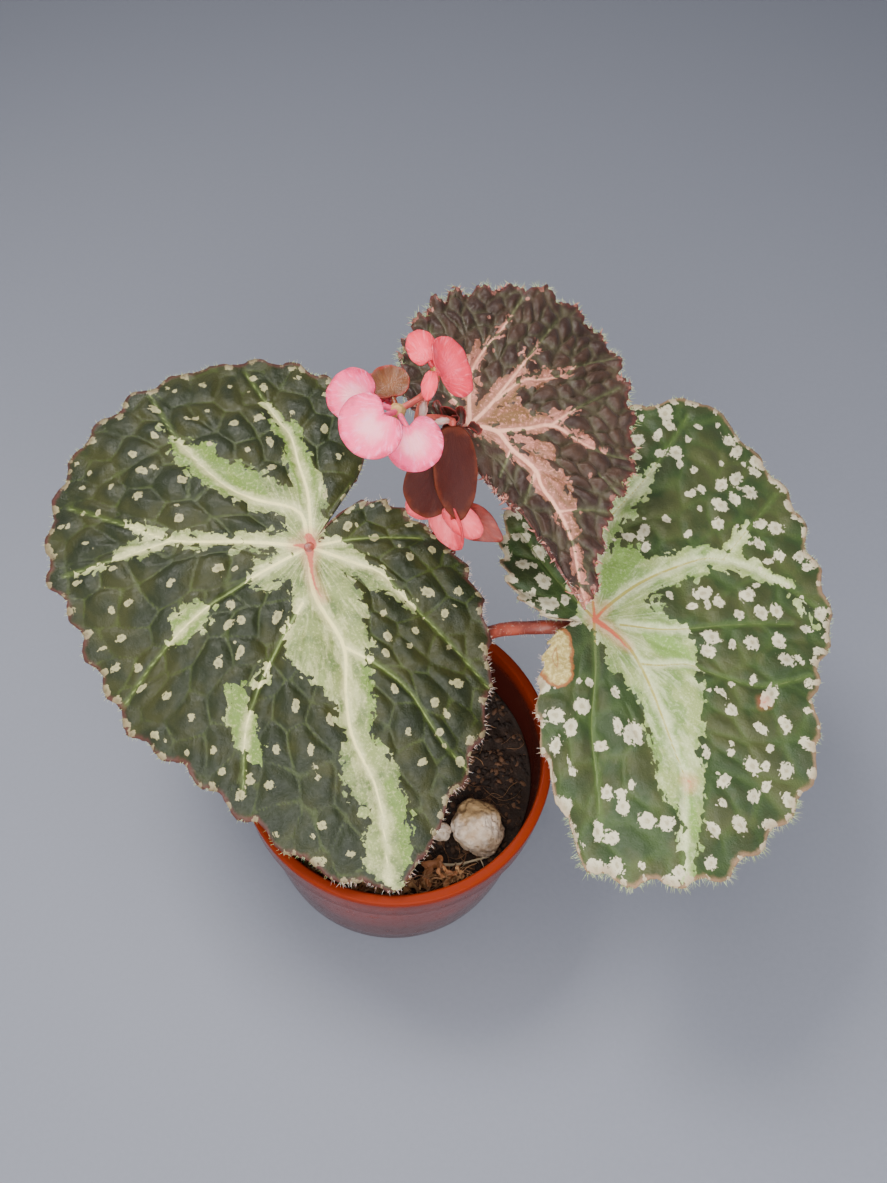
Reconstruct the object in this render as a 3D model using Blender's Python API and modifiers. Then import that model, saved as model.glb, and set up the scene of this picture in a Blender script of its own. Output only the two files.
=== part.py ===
"""Potted begonia: three broad leaves and pink blooms on a rhizome in a round plastic pot.

Metres, +Z up. The origin is the centre of the pot's base, on the surface it stands on.
-Y is the front, +X the right. The largest leaf hangs over the front left of the pot, the
second one over the right, and the young brown leaf stands highest, at the back.
"""

import math

import bmesh
import bpy
from mathutils import Vector, noise

MM = 0.001
SEAT_GAP = 0.3 * MM

# Pot: a round nursery pot, 105 mm across the rim.
POT_RIM_RADIUS = 52.5 * MM
POT_HEIGHT = 75 * MM
POT_BASE_RADIUS = 46 * MM
POT_LIP_WIDTH = 3.4 * MM
POT_BAND_HEIGHT = 15 * MM
POT_BAND_STEP = 1.4 * MM
POT_WALL = 1.8 * MM
POT_FLOOR = 2 * MM
POT_ROUNDING = 0.9 * MM
POT_SIDES = 40
DRAIN_HOLES = 6
DRAIN_RADIUS = 4 * MM
DRAIN_RING_RADIUS = 28 * MM

# Soil: fills the pot to about 23 mm under the rim.
SOIL_TOP = 52 * MM
SOIL_LUMP = 1.6 * MM
SOIL_LUMP_SPACING = 11 * MM
SOIL_RINGS = 7

# Rhizome: a thick creeping stem, half sunk in the soil, from back left to front right, in mm.
RHIZOME_POINTS = [(-25, 33, 50), (-15, 27, 53), (-2, 19, 54), (9, 12, 55), (17, 6, 55)]
RHIZOME_RADIUS = 6.2 * MM
RHIZOME_KNOB = 0.7 * MM
RHIZOME_STEPS = 15

# Stalks: each route runs from its socket in the rhizome to what it carries, in mm.
SOCKET_TOP_Z = 70 * MM
SOCKET_ROOM = 0.35 * MM
PETIOLE_RADIUS = 2.3 * MM
PETIOLE_FOOT_RADIUS = 2.7 * MM
PETIOLE_STEPS = 15
PEDUNCLE_STEPS = 17
PEDUNCLE_RADIUS = 1.5 * MM
PEDICEL_RADIUS = 0.95 * MM
PETIOLE_LEFT_ROUTE = [(-15, 27, 56), (-15, 27, 66), (-17, 31, 86), (-23, 37, 108)]
PETIOLE_RIGHT_ROUTE = [(14, 8, 58), (14, 8, 67), (16, 20, 86), (27, 28, 104), (44, 25.5, 116)]
PETIOLE_TOP_ROUTE = [(5, 14.5, 57), (5, 14.5, 66), (11, 38, 86), (15.2, 53, 110), (15.2, 56.2, 127),
                     (14.6, 57, 150)]
PEDUNCLE_ROUTE = [(-5, 20.5, 56.5), (-5, 20.5, 66), (3, 42, 88), (9.5, 59, 120), (6, 59.5, 150),
                  (3.5, 58, 178), (7, 58, 196)]
LOWER_FORK = (3.5, 58, 178)
FORK = (7, 58, 196)

# Leaf blades. An outline gives the radius in mm at an angle in degrees, counted from the
# direction of the tip, counter-clockwise seen from above. The notch is where the stalk joins.
BLADE = 1.0 * MM
LEAF_SPOKES = 72
LEAF_RINGS = (0.0, 0.12, 0.3, 0.5, 0.7, 0.87, 1.0)
LEAF_SCALLOPS = 36

LEAF_LEFT = dict(
    base=(-29, 44, 130), heading=-73, tilt=12, droop=(2.8, 2.6), notch=131,
    outline=[(131, 5.5), (136, 35), (147, 46), (157, 60), (169, 69), (182, 76), (203, 82),
             (232, 86), (259, 82), (272, 75), (290, 74.5), (303, 77), (314, 76), (334, 84),
             (350, 98), (361, 105), (373, 95), (388, 80), (406, 66), (427, 52), (452, 37),
             (470, 28), (482, 21)],
    veins=(-147, -109, -74, -33, 1, 48, 92, 175), scallop=1.3, flute=2.4, wave=(1.8, 7, 0.4))
LEAF_RIGHT = dict(
    base=(60, 24, 125), heading=-68, tilt=10, droop=(1.6, 1.4), notch=-104,
    outline=[(-104, 6), (-93, 12), (-81, 17), (-66, 24), (-52, 36), (-38, 51), (-30, 62),
             (-21, 76), (-6, 81), (5, 85), (20, 84), (32, 84), (44, 79), (53, 74), (62, 76),
             (73, 82), (88, 81), (105, 88), (120, 93), (130, 97), (140, 88), (154, 75),
             (166, 62), (178, 53), (198, 43), (215, 34), (230, 27), (244, 17)],
    veins=(-60, -22, 5, 50, 95, 142, 198), scallop=1.3, flute=2.2, wave=(2.0, 8, 1.1))
LEAF_TOP = dict(
    base=(18, 58, 176), heading=-51, tilt=14, droop=(3.0, 3.0), notch=-124,
    outline=[(-124, 4.5), (-112, 6.5), (-90, 8), (-60, 9.5), (-30, 13), (-15, 20), (-8, 28),
             (-4, 40), (-1, 61), (8, 55), (14, 52), (29, 48), (44, 51), (58, 53), (77, 55),
             (90, 60), (104, 61), (124, 56), (137, 51), (150, 45), (165, 38), (180, 31),
             (194, 26), (208, 21), (222, 13)],
    veins=(-40, 8, 55, 92, 132, 175), scallop=1.5, flute=1.9, wave=(1.6, 9, 2.0))

# Blooms. Each tepal is (centre, facing direction, half width, half length, cup) in mm.
TEPAL_BLADE = 0.8 * MM
TEPAL_SPOKES = 16
TEPAL_RINGS = (0.0, 0.55, 1.0)
TEPAL_NOTCH = 0.22
TEPAL_NOTCH_WIDTH = 0.45
CLAW_RADIUS = 0.9 * MM
BLOOM_FRONT = dict(hub=(-2.5, 45.8, 197), hub_radius=2.2, tepals=[
    ((-8.9, 36.0, 203), (-0.10, -0.55, 0.83), 8.6, 8.0, 1.2),
    ((-14.1, 48.1, 200), (-0.35, -0.40, 0.85), 6.9, 6.9, 1.5),
    ((2.2, 35.6, 197), (0.20, -0.60, 0.78), 7.6, 7.4, 1.2),
    ((-4.8, 53.6, 198.5), (-0.05, -0.25, 0.97), 5.4, 5.0, 1.0),
    ((-7.5, 55.5, 193.5), (-0.10, -0.05, 0.99), 6.0, 5.6, 0.8)])
BLOOM_UPPER = dict(hub=(7.3, 54.6, 203), hub_radius=1.6, tepals=[
    ((3.6, 58.6, 207.0), (-0.30, -0.45, 0.84), 4.0, 5.0, 1.0),
    ((10.8, 53.0, 206.5), (0.64, -0.36, 0.68), 8.5, 5.8, 1.4),
    ((5.8, 50.0, 203), (-0.25, -0.62, 0.74), 2.1, 4.2, 0.4)])
BLOOM_LOWER = dict(hub=(10.8, 38.4, 166.4), hub_radius=1.9, tepals=[
    ((13.4, 34.2, 161.6), (-0.45, -0.76, 0.46), 4.4, 8.2, 1.2),
    ((19.8, 34.2, 162.6), (0.35, -0.75, 0.55), 5.0, 8.8, 1.4),
    ((15.6, 32.9, 165.2), (0.10, -0.62, 0.78), 3.0, 7.0, 1.0),
    ((6.2, 41.4, 160.4), (-0.35, -0.60, 0.70), 4.6, 6.0, 1.0)])
# The winged seed case above the hanging bloom: (centre, facing direction, half width, half length).
OVARY_TOP = (12.4, 46.2, 187.5)
OVARY_FOOT = (10.8, 39.2, 169.5)
OVARY_RADIUS = 3.2
OVARY_WINGS = [
    ((8.0, 40.4, 175.0), (-0.14, -0.86, 0.47), 6.0, 12.6, 1.4),
    ((14.4, 42.4, 176.5), (0.40, -0.80, 0.40), 3.9, 10.4, 1.0),
    ((12.4, 45.2, 176.0), (0.98, 0.10, 0.10), 3.0, 8.6, 0.5)]

# Pedicels: each one's route from the peduncle, what it carries, and the radius of its heart.
PEDICELS = [
    ([FORK, (4.2, 50.9, 197.5)], BLOOM_FRONT["hub"], BLOOM_FRONT["hub_radius"]),
    ([FORK, (7.2, 57.0, 199.5)], BLOOM_UPPER["hub"], BLOOM_UPPER["hub_radius"]),
    ([LOWER_FORK, (7.5, 53.0, 185.5), (12.3, 48.0, 190.3)], OVARY_TOP, 0.0)]
PEDICEL_STEPS = 7

# Stones on the soil.
STONE_LARGE = dict(centre=(28.4, -21, 56.5), size=(8.6, 9.4, 7.4), turn=25, detail=3)
STONE_SMALL = dict(centre=(15.4, -21.5, 53.4), size=(3.4, 4.0, 3.0), turn=70, detail=2)
STONE_ROUGHNESS = 0.16

for old in list(bpy.data.objects):
    bpy.data.objects.remove(old)
PARTS = bpy.data.collections.new("potted_begonia")
CUTTERS = bpy.data.collections.new("cutters")
bpy.context.scene.collection.children.link(PARTS)
bpy.context.scene.collection.children.link(CUTTERS)
CUTTERS.hide_render = True


def mm(point):
    """A point in millimetres as a vector in metres."""
    return Vector(point) * MM


def material(name, red, green, blue, roughness):
    """A Principled material from an sRGB colour in the range 0 to 1."""
    made = bpy.data.materials.new(name)
    made.use_nodes = True
    shader = made.node_tree.nodes["Principled BSDF"]
    linear = [((c + 0.055) / 1.055) ** 2.4 if c > 0.04 else c / 12.92 for c in (red, green, blue)]
    shader.inputs["Base Color"].default_value = (*linear, 1)
    shader.inputs["Roughness"].default_value = roughness
    return made


def add_object(name, data, collection=PARTS):
    """Links a mesh or curve as an object; one in the cutters' collection is only a helper."""
    obj = bpy.data.objects.new(name, data)
    collection.objects.link(obj)
    if collection is CUTTERS:
        obj.hide_render = True
        obj.display_type = "WIRE"
    return obj


def add_bmesh(name, bm, collection=PARTS):
    mesh = bpy.data.meshes.new(name)
    bm.to_mesh(mesh)
    bm.free()
    return add_object(name, mesh, collection)


def applied(obj):
    """The object with its modifiers or curve bevel made plain mesh, seams welded."""
    graph = bpy.context.evaluated_depsgraph_get()
    mesh = bpy.data.meshes.new_from_object(obj.evaluated_get(graph))
    bm = bmesh.new()
    bm.from_mesh(mesh)
    bm.transform(obj.matrix_world)
    bmesh.ops.remove_doubles(bm, verts=bm.verts, dist=1e-6)
    bm.to_mesh(mesh)
    bm.free()
    name = obj.name
    collection = obj.users_collection[0]
    bpy.data.objects.remove(obj)
    return add_object(name, mesh, collection)


def boolean(obj, others, operation):
    """Cuts the others from the object, or joins them to it, and removes them."""
    for other in others:
        modifier = obj.modifiers.new(other.name, "BOOLEAN")
        modifier.operation = operation
        modifier.object = other
        modifier.solver = "EXACT"
    made = applied(obj)
    for other in others:
        bpy.data.objects.remove(other)
    return made


def finish(obj, surface, smooth_angle=40):
    obj.data.materials.clear()
    obj.data.materials.append(surface)
    obj.data.shade_smooth()
    obj.data.set_sharp_from_angle(angle=math.radians(smooth_angle))
    return obj


def smooth_path(points, steps):
    """Points at even parameter steps on a centripetal Catmull-Rom curve through the given ones."""
    ends = [points[0] * 2 - points[1]] + list(points) + [points[-1] * 2 - points[-2]]
    times = [0.0]
    for start, end in zip(ends, ends[1:]):
        times.append(times[-1] + math.sqrt((end - start).length))
    first, last = times[1], times[-2]
    blends = (((0, 1), (1, 2), (2, 3)), ((0, 2), (1, 3)), ((1, 2),))
    path = []
    for step in range(steps + 1):
        t = first + (last - first) * step / steps
        k = max(i for i in range(1, len(ends) - 2) if times[i] <= t + 1e-9)
        near = ends[k - 1:k + 3]
        clock = times[k - 1:k + 3]
        for spans in blends:
            near = [near[i].lerp(near[i + 1], (t - clock[low]) / (clock[high] - clock[low]))
                    for i, (low, high) in enumerate(spans)]
        path.append(near[0])
    return path


def tube(name, path, radii, collection=PARTS):
    """A round bar along the path with a radius at each point and closed ends."""
    curve = bpy.data.curves.new(name, "CURVE")
    curve.dimensions = "3D"
    curve.bevel_depth = 1
    curve.bevel_resolution = 2
    curve.use_fill_caps = True
    spline = curve.splines.new("POLY")
    spline.points.add(len(path) - 1)
    for point, place, radius in zip(spline.points, path, radii):
        point.co = (*place, 1)
        point.radius = radius
    return applied(add_object(name, curve, collection))


def turned(name, profile, steps):
    """A profile of (radius, height) points turned about Z, running down the outer side."""
    bm = bmesh.new()
    points = [bm.verts.new((radius, 0, height)) for radius, height in profile]
    for start, end in zip(points, points[1:]):
        bm.edges.new((start, end))
    obj = add_bmesh(name, bm)
    screw = obj.modifiers.new("turn", "SCREW")
    screw.steps = steps
    screw.render_steps = steps
    screw.use_merge_vertices = True
    screw.merge_threshold = 1e-5
    return applied(obj)


def cylinder(name, centre, radius, height, sides, collection):
    bm = bmesh.new()
    bmesh.ops.create_cone(bm, cap_ends=True, segments=sides, radius1=radius, radius2=radius,
                          depth=height)
    bmesh.ops.translate(bm, verts=bm.verts, vec=centre)
    return add_bmesh(name, bm, collection)


def blade(name, place, spokes, rings, thickness, collection=PARTS):
    """A thin closed blade: a grid wrapped round its middle, with place(angle, share) in metres.

    The faces are split into triangles before the thickness is added, alike on both sides.
    """
    bm = bmesh.new()
    bmesh.ops.create_grid(bm, x_segments=spokes, y_segments=len(rings) - 1, size=1)
    for vert in bm.verts:
        spoke = round((vert.co.x + 1) / 2 * spokes) % spokes
        ring = round((vert.co.y + 1) / 2 * (len(rings) - 1))
        vert.co = place(2 * math.pi * spoke / spokes, rings[ring])
    bmesh.ops.remove_doubles(bm, verts=bm.verts, dist=1e-6)
    bmesh.ops.triangulate(bm, faces=bm.faces, quad_method="SHORT_EDGE")
    bmesh.ops.recalc_face_normals(bm, faces=bm.faces)
    obj = add_bmesh(name, bm, collection)
    solidify = obj.modifiers.new("thickness", "SOLIDIFY")
    solidify.thickness = thickness
    solidify.offset = -1
    return applied(obj)


def curve_value(knots, angle):
    """The value at an angle on a closed curve through (degrees, value) knots, with no overshoot."""
    first = knots[0][0]
    angle = first + (angle - first) % 360
    count = len(knots)
    xs = [x for x, _ in knots] + [first + 360]
    ys = [y for _, y in knots] + [knots[0][1]]
    k = max(i for i in range(count) if xs[i] <= angle + 1e-9)
    slopes = [(ys[i + 1] - ys[i]) / (xs[i + 1] - xs[i]) for i in range(count)]

    def tangent(i):
        before, after = slopes[(i - 1) % count], slopes[i % count]
        if before * after <= 0:
            return 0.0
        return 2 * before * after / (before + after)

    width = xs[k + 1] - xs[k]
    t = (angle - xs[k]) / width
    return ((2 * t ** 3 - 3 * t ** 2 + 1) * ys[k] + (t ** 3 - 2 * t ** 2 + t) * width * tangent(k)
            + (3 * t ** 2 - 2 * t ** 3) * ys[k + 1] + (t ** 3 - t ** 2) * width * tangent(k + 1))


def leaf_axes(leaf):
    """The leaf's forward, side and up directions at its stalk."""
    heading = math.radians(leaf["heading"])
    tilt = math.radians(leaf["tilt"])
    level = Vector((math.cos(heading), math.sin(heading), 0))
    forward = level * math.cos(tilt) - Vector((0, 0, 1)) * math.sin(tilt)
    up = level * math.sin(tilt) + Vector((0, 0, 1)) * math.cos(tilt)
    return forward, up.cross(forward), up


def between_veins(leaf, degrees):
    """0 on a main vein and 1 halfway between two of them."""
    veins = sorted(v % 360 for v in leaf["veins"])
    degrees %= 360
    after = next((v for v in veins if v > degrees), veins[0] + 360)
    before = max((v for v in veins if v <= degrees), default=veins[-1] - 360)
    if after <= before:
        after += 360
    return math.sin(math.pi * (degrees - before) / (after - before))


def leaf_point(leaf, degrees, share):
    """A point of the leaf's upper face, at a share of the way out to its edge."""
    reach = curve_value(leaf["outline"], degrees)
    edge = reach + leaf["scallop"] * math.cos(math.radians(LEAF_SCALLOPS * (degrees - leaf["notch"])))
    distance = share * (reach + (edge - reach) * share ** 4)
    angle = math.radians(degrees)
    along = distance * math.cos(angle)
    aside = distance * math.sin(angle)
    droop_along, droop_aside = leaf["droop"]
    height = -(droop_along * along ** 2 + droop_aside * aside ** 2) / 1000
    size = min(1.0, distance / 30) ** 2
    height += leaf["flute"] * between_veins(leaf, degrees) * math.sin(math.pi * min(share, 0.9)) * size
    wave_height, waves, phase = leaf["wave"]
    height += wave_height * share ** 3 * size * math.sin(waves * angle + phase)
    forward, sideways, up = leaf_axes(leaf)
    return mm(leaf["base"]) + (forward * along + sideways * aside + up * height) * MM


def make_leaf(name, leaf, surface):
    notch = leaf["notch"]
    obj = blade(name, lambda angle, share: leaf_point(leaf, notch + math.degrees(angle), share),
                LEAF_SPOKES, LEAF_RINGS, BLADE)
    return finish(obj, surface, 60)


def make_petiole(name, route, leaf, surface):
    """A leaf stalk from its socket to its seat under the blade, square to the blade there."""
    up = leaf_axes(leaf)[2]
    seat = mm(leaf["base"]) - up * (BLADE + SEAT_GAP)
    points = [mm(point) for point in route] + [seat - up * 7 * MM, seat]
    path = smooth_path(points, PETIOLE_STEPS)
    last = len(path) - 1
    radii = [PETIOLE_FOOT_RADIUS + (PETIOLE_RADIUS - PETIOLE_FOOT_RADIUS) * min(1, 3 * i / last)
             for i in range(last + 1)]
    return finish(tube(name, path, radii), surface)


def knuckle(name, place, radius):
    """A small swelling where a pedicel leaves the peduncle."""
    ball = bmesh.new()
    bmesh.ops.create_uvsphere(ball, u_segments=8, v_segments=6, radius=radius)
    bmesh.ops.translate(ball, verts=ball.verts, vec=place)
    return add_bmesh(name, ball, CUTTERS)


def make_flower_stalk(surface):
    """The peduncle with a pedicel for each bloom, as one piece."""
    route = [mm(point) for point in PEDUNCLE_ROUTE]
    stalk = tube("flower_stalk", smooth_path(route, PEDUNCLE_STEPS),
                 [PEDUNCLE_RADIUS] * (PEDUNCLE_STEPS + 1))
    arms = []
    for number, (way, target, radius) in enumerate(PEDICELS):
        way = [mm(point) for point in way]
        end = mm(target) + (way[-1] - mm(target)).normalized() * (radius * MM + SEAT_GAP)
        arms.append(tube(f"pedicel_{number}", smooth_path(way + [end], PEDICEL_STEPS),
                         [PEDICEL_RADIUS] * (PEDICEL_STEPS + 1), CUTTERS))
    arms.append(knuckle("fork", mm(FORK), PEDUNCLE_RADIUS * 1.15))
    return finish(boolean(stalk, arms, "UNION"), surface)


def tepal_blade(name, root, tepal, notch=TEPAL_NOTCH):
    """A rounded, slightly cupped blade whose notch points to the root it grows from."""
    centre, facing, half_width, half_length, cup = tepal
    middle = mm(centre)
    normal = Vector(facing).normalized()
    outward = middle - root
    outward = (outward - normal * outward.dot(normal)).normalized()
    sideways = normal.cross(outward)

    def place(angle, share):
        toward_root = (angle - math.pi) / TEPAL_NOTCH_WIDTH
        reach = share * (1 - notch * math.exp(-toward_root ** 2))
        lift = cup * reach ** 2 + 0.35 * share ** 2 * math.sin(3 * angle)
        return middle + MM * (outward * reach * half_length * math.cos(angle)
                              + sideways * reach * half_width * math.sin(angle) + normal * lift)

    return blade(name, place, TEPAL_SPOKES, TEPAL_RINGS, TEPAL_BLADE, CUTTERS), place


def make_bloom(name, bloom, surface):
    """A round heart with its tepals, each on a short claw, joined in one piece."""
    hub = mm(bloom["hub"])
    radius = bloom["hub_radius"] * MM
    ball = bmesh.new()
    bmesh.ops.create_uvsphere(ball, u_segments=10, v_segments=7, radius=radius)
    bmesh.ops.translate(ball, verts=ball.verts, vec=hub)
    heart = add_bmesh(name, ball)
    pieces = []
    for number, tepal in enumerate(bloom["tepals"]):
        piece, place = tepal_blade(f"{name}_tepal_{number}", hub, tepal)
        inside = place(math.pi, 0.7)
        normal = Vector(tepal[1]).normalized()
        claw_end = inside - normal * TEPAL_BLADE * 0.5
        claw = tube(f"{name}_claw_{number}", [hub, (hub + claw_end) / 2, claw_end],
                    [CLAW_RADIUS] * 3, CUTTERS)
        pieces += [piece, claw]
    return finish(boolean(heart, pieces, "UNION"), surface)


def make_ovary(surface):
    """The seed case above the hanging bloom: a spindle with three rounded wings."""
    top = mm(OVARY_TOP)
    foot = mm(OVARY_FOOT)
    axis = top - foot
    ball = bmesh.new()
    bmesh.ops.create_uvsphere(ball, u_segments=10, v_segments=8, radius=1)
    turn = axis.to_track_quat("Z", "Y").to_matrix()
    for vert in ball.verts:
        along = Vector((vert.co.x * OVARY_RADIUS * MM, vert.co.y * OVARY_RADIUS * MM,
                        vert.co.z * axis.length / 2))
        vert.co = (top + foot) / 2 + turn @ along
    body = add_bmesh("ovary_lower", ball)
    wings = []
    for number, (centre, facing, half_width, half_length, cup) in enumerate(OVARY_WINGS):
        wings.append(tepal_blade(f"wing_{number}", top,
                                 (centre, facing, half_width, half_length, cup), 0.08)[0])
    return finish(boolean(body, wings, "UNION"), surface)


def make_pot(surface):
    rim, height, base = POT_RIM_RADIUS, POT_HEIGHT, POT_BASE_RADIUS
    lip_inner = rim - POT_LIP_WIDTH
    under_band = rim - POT_BAND_STEP
    rounding = POT_ROUNDING
    profile = [
        (0, POT_FLOOR),
        (base - POT_WALL - rounding, POT_FLOOR),
        (base - POT_WALL, POT_FLOOR + rounding),
        (lip_inner - 0.4 * MM, height - POT_BAND_HEIGHT),
        (lip_inner, height - rounding),
        (lip_inner + rounding / 2, height - rounding / 4),
        (lip_inner + rounding, height),
        (rim - rounding, height),
        (rim - rounding / 4, height - rounding / 4),
        (rim, height - rounding),
        (rim - 0.3 * MM, height - POT_BAND_HEIGHT),
        (under_band, height - POT_BAND_HEIGHT - POT_BAND_STEP),
        (base + 0.3 * MM, rounding),
        (base - rounding, 0),
        (0, 0)]
    pot = turned("pot", profile, POT_SIDES)
    drains = []
    for number in range(DRAIN_HOLES):
        angle = 2 * math.pi * number / DRAIN_HOLES
        centre = (DRAIN_RING_RADIUS * math.cos(angle), DRAIN_RING_RADIUS * math.sin(angle), 0)
        drains.append(cylinder(f"drain_{number}", centre, DRAIN_RADIUS, 4 * POT_FLOOR, 16, CUTTERS))
    return finish(boolean(pot, drains, "DIFFERENCE"), surface)


def pot_inner_radius(height):
    """The radius of the pot's inner wall at a height below its rim band."""
    low, high = POT_FLOOR + POT_ROUNDING, POT_HEIGHT - POT_BAND_HEIGHT
    low_radius = POT_BASE_RADIUS - POT_WALL
    high_radius = POT_RIM_RADIUS - POT_LIP_WIDTH - 0.4 * MM
    return low_radius + (high_radius - low_radius) * (height - low) / (high - low)


def make_soil(pockets, surface):
    """The filling of the pot, lumpy on top, with a pocket for each thing that lies in it."""
    bottom = POT_FLOOR + SEAT_GAP
    lowest = bottom + POT_ROUNDING
    flat = math.cos(math.pi / POT_SIDES)
    edge = pot_inner_radius(SOIL_TOP) * flat - SEAT_GAP
    rings = [(edge * ring / SOIL_RINGS, SOIL_TOP) for ring in range(SOIL_RINGS + 1)]
    sides = [(pot_inner_radius(lowest) * flat - SEAT_GAP, lowest),
             (pot_inner_radius(lowest) * flat - SEAT_GAP - POT_ROUNDING, bottom), (0, bottom)]
    soil = turned("soil", rings + sides, POT_SIDES)
    for vert in soil.data.vertices:
        distance = vert.co.xy.length
        if vert.co.z > SOIL_TOP - 1e-6 and distance < edge - MM:
            spot = Vector((vert.co.x, vert.co.y, 0.03)) / SOIL_LUMP_SPACING
            vert.co.z += SOIL_LUMP * noise.noise(spot)
    return finish(boolean(soil, pockets, "DIFFERENCE"), surface, 60)


def rhizome_body(name, extra_radius, collection):
    path = smooth_path([mm(point) for point in RHIZOME_POINTS], RHIZOME_STEPS)
    radii = []
    for step in range(RHIZOME_STEPS + 1):
        share = step / RHIZOME_STEPS
        rounding = math.sqrt(max(0.12, 1 - (2 * share - 1) ** 6))
        knob = RHIZOME_KNOB * (1 if step % 3 == 1 else -0.4)
        radii.append((RHIZOME_RADIUS + knob) * rounding + extra_radius)
    return tube(name, path, radii, collection)


def make_rhizome(surface):
    """The creeping stem with a plain socket for each stalk that stands in it."""
    body = rhizome_body("rhizome", 0, PARTS)
    sockets = []
    feet = [(PETIOLE_LEFT_ROUTE, PETIOLE_FOOT_RADIUS), (PETIOLE_RIGHT_ROUTE, PETIOLE_FOOT_RADIUS),
            (PETIOLE_TOP_ROUTE, PETIOLE_FOOT_RADIUS), (PEDUNCLE_ROUTE, PEDUNCLE_RADIUS)]
    for number, (route, radius) in enumerate(feet):
        foot = mm(route[0])
        low = foot.z - SEAT_GAP
        centre = (foot.x, foot.y, (low + SOCKET_TOP_Z) / 2)
        sockets.append(cylinder(f"socket_{number}", centre, radius + SOCKET_ROOM,
                                SOCKET_TOP_Z - low, 16, CUTTERS))
    return finish(boolean(body, sockets, "DIFFERENCE"), surface)


def make_stone(name, stone, extra, collection=PARTS):
    """A rough lump: a sphere dented by noise, stretched to its half sizes plus extra."""
    bm = bmesh.new()
    bmesh.ops.create_icosphere(bm, subdivisions=stone["detail"], radius=1)
    turn = math.radians(stone["turn"])
    size = [half * MM + extra for half in stone["size"]]
    for vert in bm.verts:
        direction = vert.co.normalized()
        bulge = 1 + STONE_ROUGHNESS * noise.noise(direction * 1.7 + Vector(stone["centre"]))
        x, y, z = (direction[i] * size[i] * bulge for i in range(3))
        vert.co = mm(stone["centre"]) + Vector((x * math.cos(turn) - y * math.sin(turn),
                                                x * math.sin(turn) + y * math.cos(turn), z))
    return add_bmesh(name, bm, collection)


def main():
    terracotta = material("terracotta plastic", 0.70, 0.26, 0.15, 0.35)
    soil = material("soil", 0.16, 0.11, 0.08, 0.95)
    bark = material("rhizome", 0.42, 0.25, 0.17, 0.8)
    stalk_red = material("red stalk", 0.55, 0.24, 0.17, 0.5)
    leaf_green = material("leaf green", 0.24, 0.31, 0.20, 0.45)
    leaf_brown = material("young leaf brown", 0.37, 0.28, 0.26, 0.5)
    pink = material("tepal pink", 0.91, 0.50, 0.56, 0.5)
    seed_case = material("seed case brown red", 0.46, 0.22, 0.16, 0.4)
    stone = material("stone", 0.82, 0.75, 0.62, 0.85)

    make_pot(terracotta)
    for name, leaf, surface in (("leaf_left", LEAF_LEFT, leaf_green),
                                ("leaf_right", LEAF_RIGHT, leaf_green),
                                ("leaf_top", LEAF_TOP, leaf_brown)):
        make_leaf(name, leaf, surface)
    for name, route, leaf in (("petiole_left", PETIOLE_LEFT_ROUTE, LEAF_LEFT),
                              ("petiole_right", PETIOLE_RIGHT_ROUTE, LEAF_RIGHT),
                              ("petiole_top", PETIOLE_TOP_ROUTE, LEAF_TOP)):
        make_petiole(name, route, leaf, stalk_red)
    make_flower_stalk(stalk_red)
    for name, bloom in (("bloom_front", BLOOM_FRONT), ("bloom_upper", BLOOM_UPPER),
                        ("bloom_lower", BLOOM_LOWER)):
        make_bloom(name, bloom, pink)
    make_ovary(seed_case)
    make_rhizome(bark)
    pockets = [rhizome_body("rhizome_pocket", SOCKET_ROOM, CUTTERS)]
    for name, lump in (("stone_large", STONE_LARGE), ("stone_small", STONE_SMALL)):
        finish(make_stone(name, lump, 0), stone)
        pockets.append(make_stone(f"{name}_pocket", lump, SOCKET_ROOM, CUTTERS))
    make_soil(pockets, soil)


main()
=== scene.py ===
"""Potted begonia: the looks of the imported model, seen from above and in front.

Three broad blades, three blooms and a seed case stand on red stalks, which grow from a rhizome
in a terracotta-coloured plastic pot. Each class below builds one sub-assembly as a finer mesh in
the place of its plain node, along the same curves, and dresses it. Sizes in the classes are in
millimetres and angles in degrees. Meshes are in metres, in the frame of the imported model.
"""

import logging  # noqa: E402
import math  # noqa: E402
import random  # noqa: E402
from collections.abc import Callable, Iterator, Sequence  # noqa: E402
from contextlib import contextmanager  # noqa: E402
from dataclasses import dataclass, field  # noqa: E402
from enum import Enum  # noqa: E402

import bpy  # noqa: E402
import numpy as np  # noqa: E402
from mathutils import Matrix, Vector, noise  # noqa: E402


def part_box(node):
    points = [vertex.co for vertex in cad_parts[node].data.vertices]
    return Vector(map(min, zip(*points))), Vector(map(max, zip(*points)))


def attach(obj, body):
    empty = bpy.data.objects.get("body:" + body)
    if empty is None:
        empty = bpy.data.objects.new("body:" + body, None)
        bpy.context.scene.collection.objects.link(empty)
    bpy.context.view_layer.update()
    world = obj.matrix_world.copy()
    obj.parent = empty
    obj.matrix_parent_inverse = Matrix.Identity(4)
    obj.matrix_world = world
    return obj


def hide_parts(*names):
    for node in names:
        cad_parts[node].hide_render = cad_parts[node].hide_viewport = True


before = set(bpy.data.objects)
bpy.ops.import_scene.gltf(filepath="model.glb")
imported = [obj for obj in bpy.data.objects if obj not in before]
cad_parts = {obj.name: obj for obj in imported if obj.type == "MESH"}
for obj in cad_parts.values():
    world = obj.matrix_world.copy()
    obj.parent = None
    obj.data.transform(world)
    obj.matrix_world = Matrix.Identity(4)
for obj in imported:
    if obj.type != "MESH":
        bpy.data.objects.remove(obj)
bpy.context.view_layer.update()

logging.basicConfig(level=logging.INFO, format="%(message)s")
LOG = logging.getLogger("begonia")

MM = 0.001
MERGE = 1e-6
FULL_TURN = 2 * math.pi
# Each fibre has this many pieces along it.
STRAND_STEPS = 12
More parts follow.
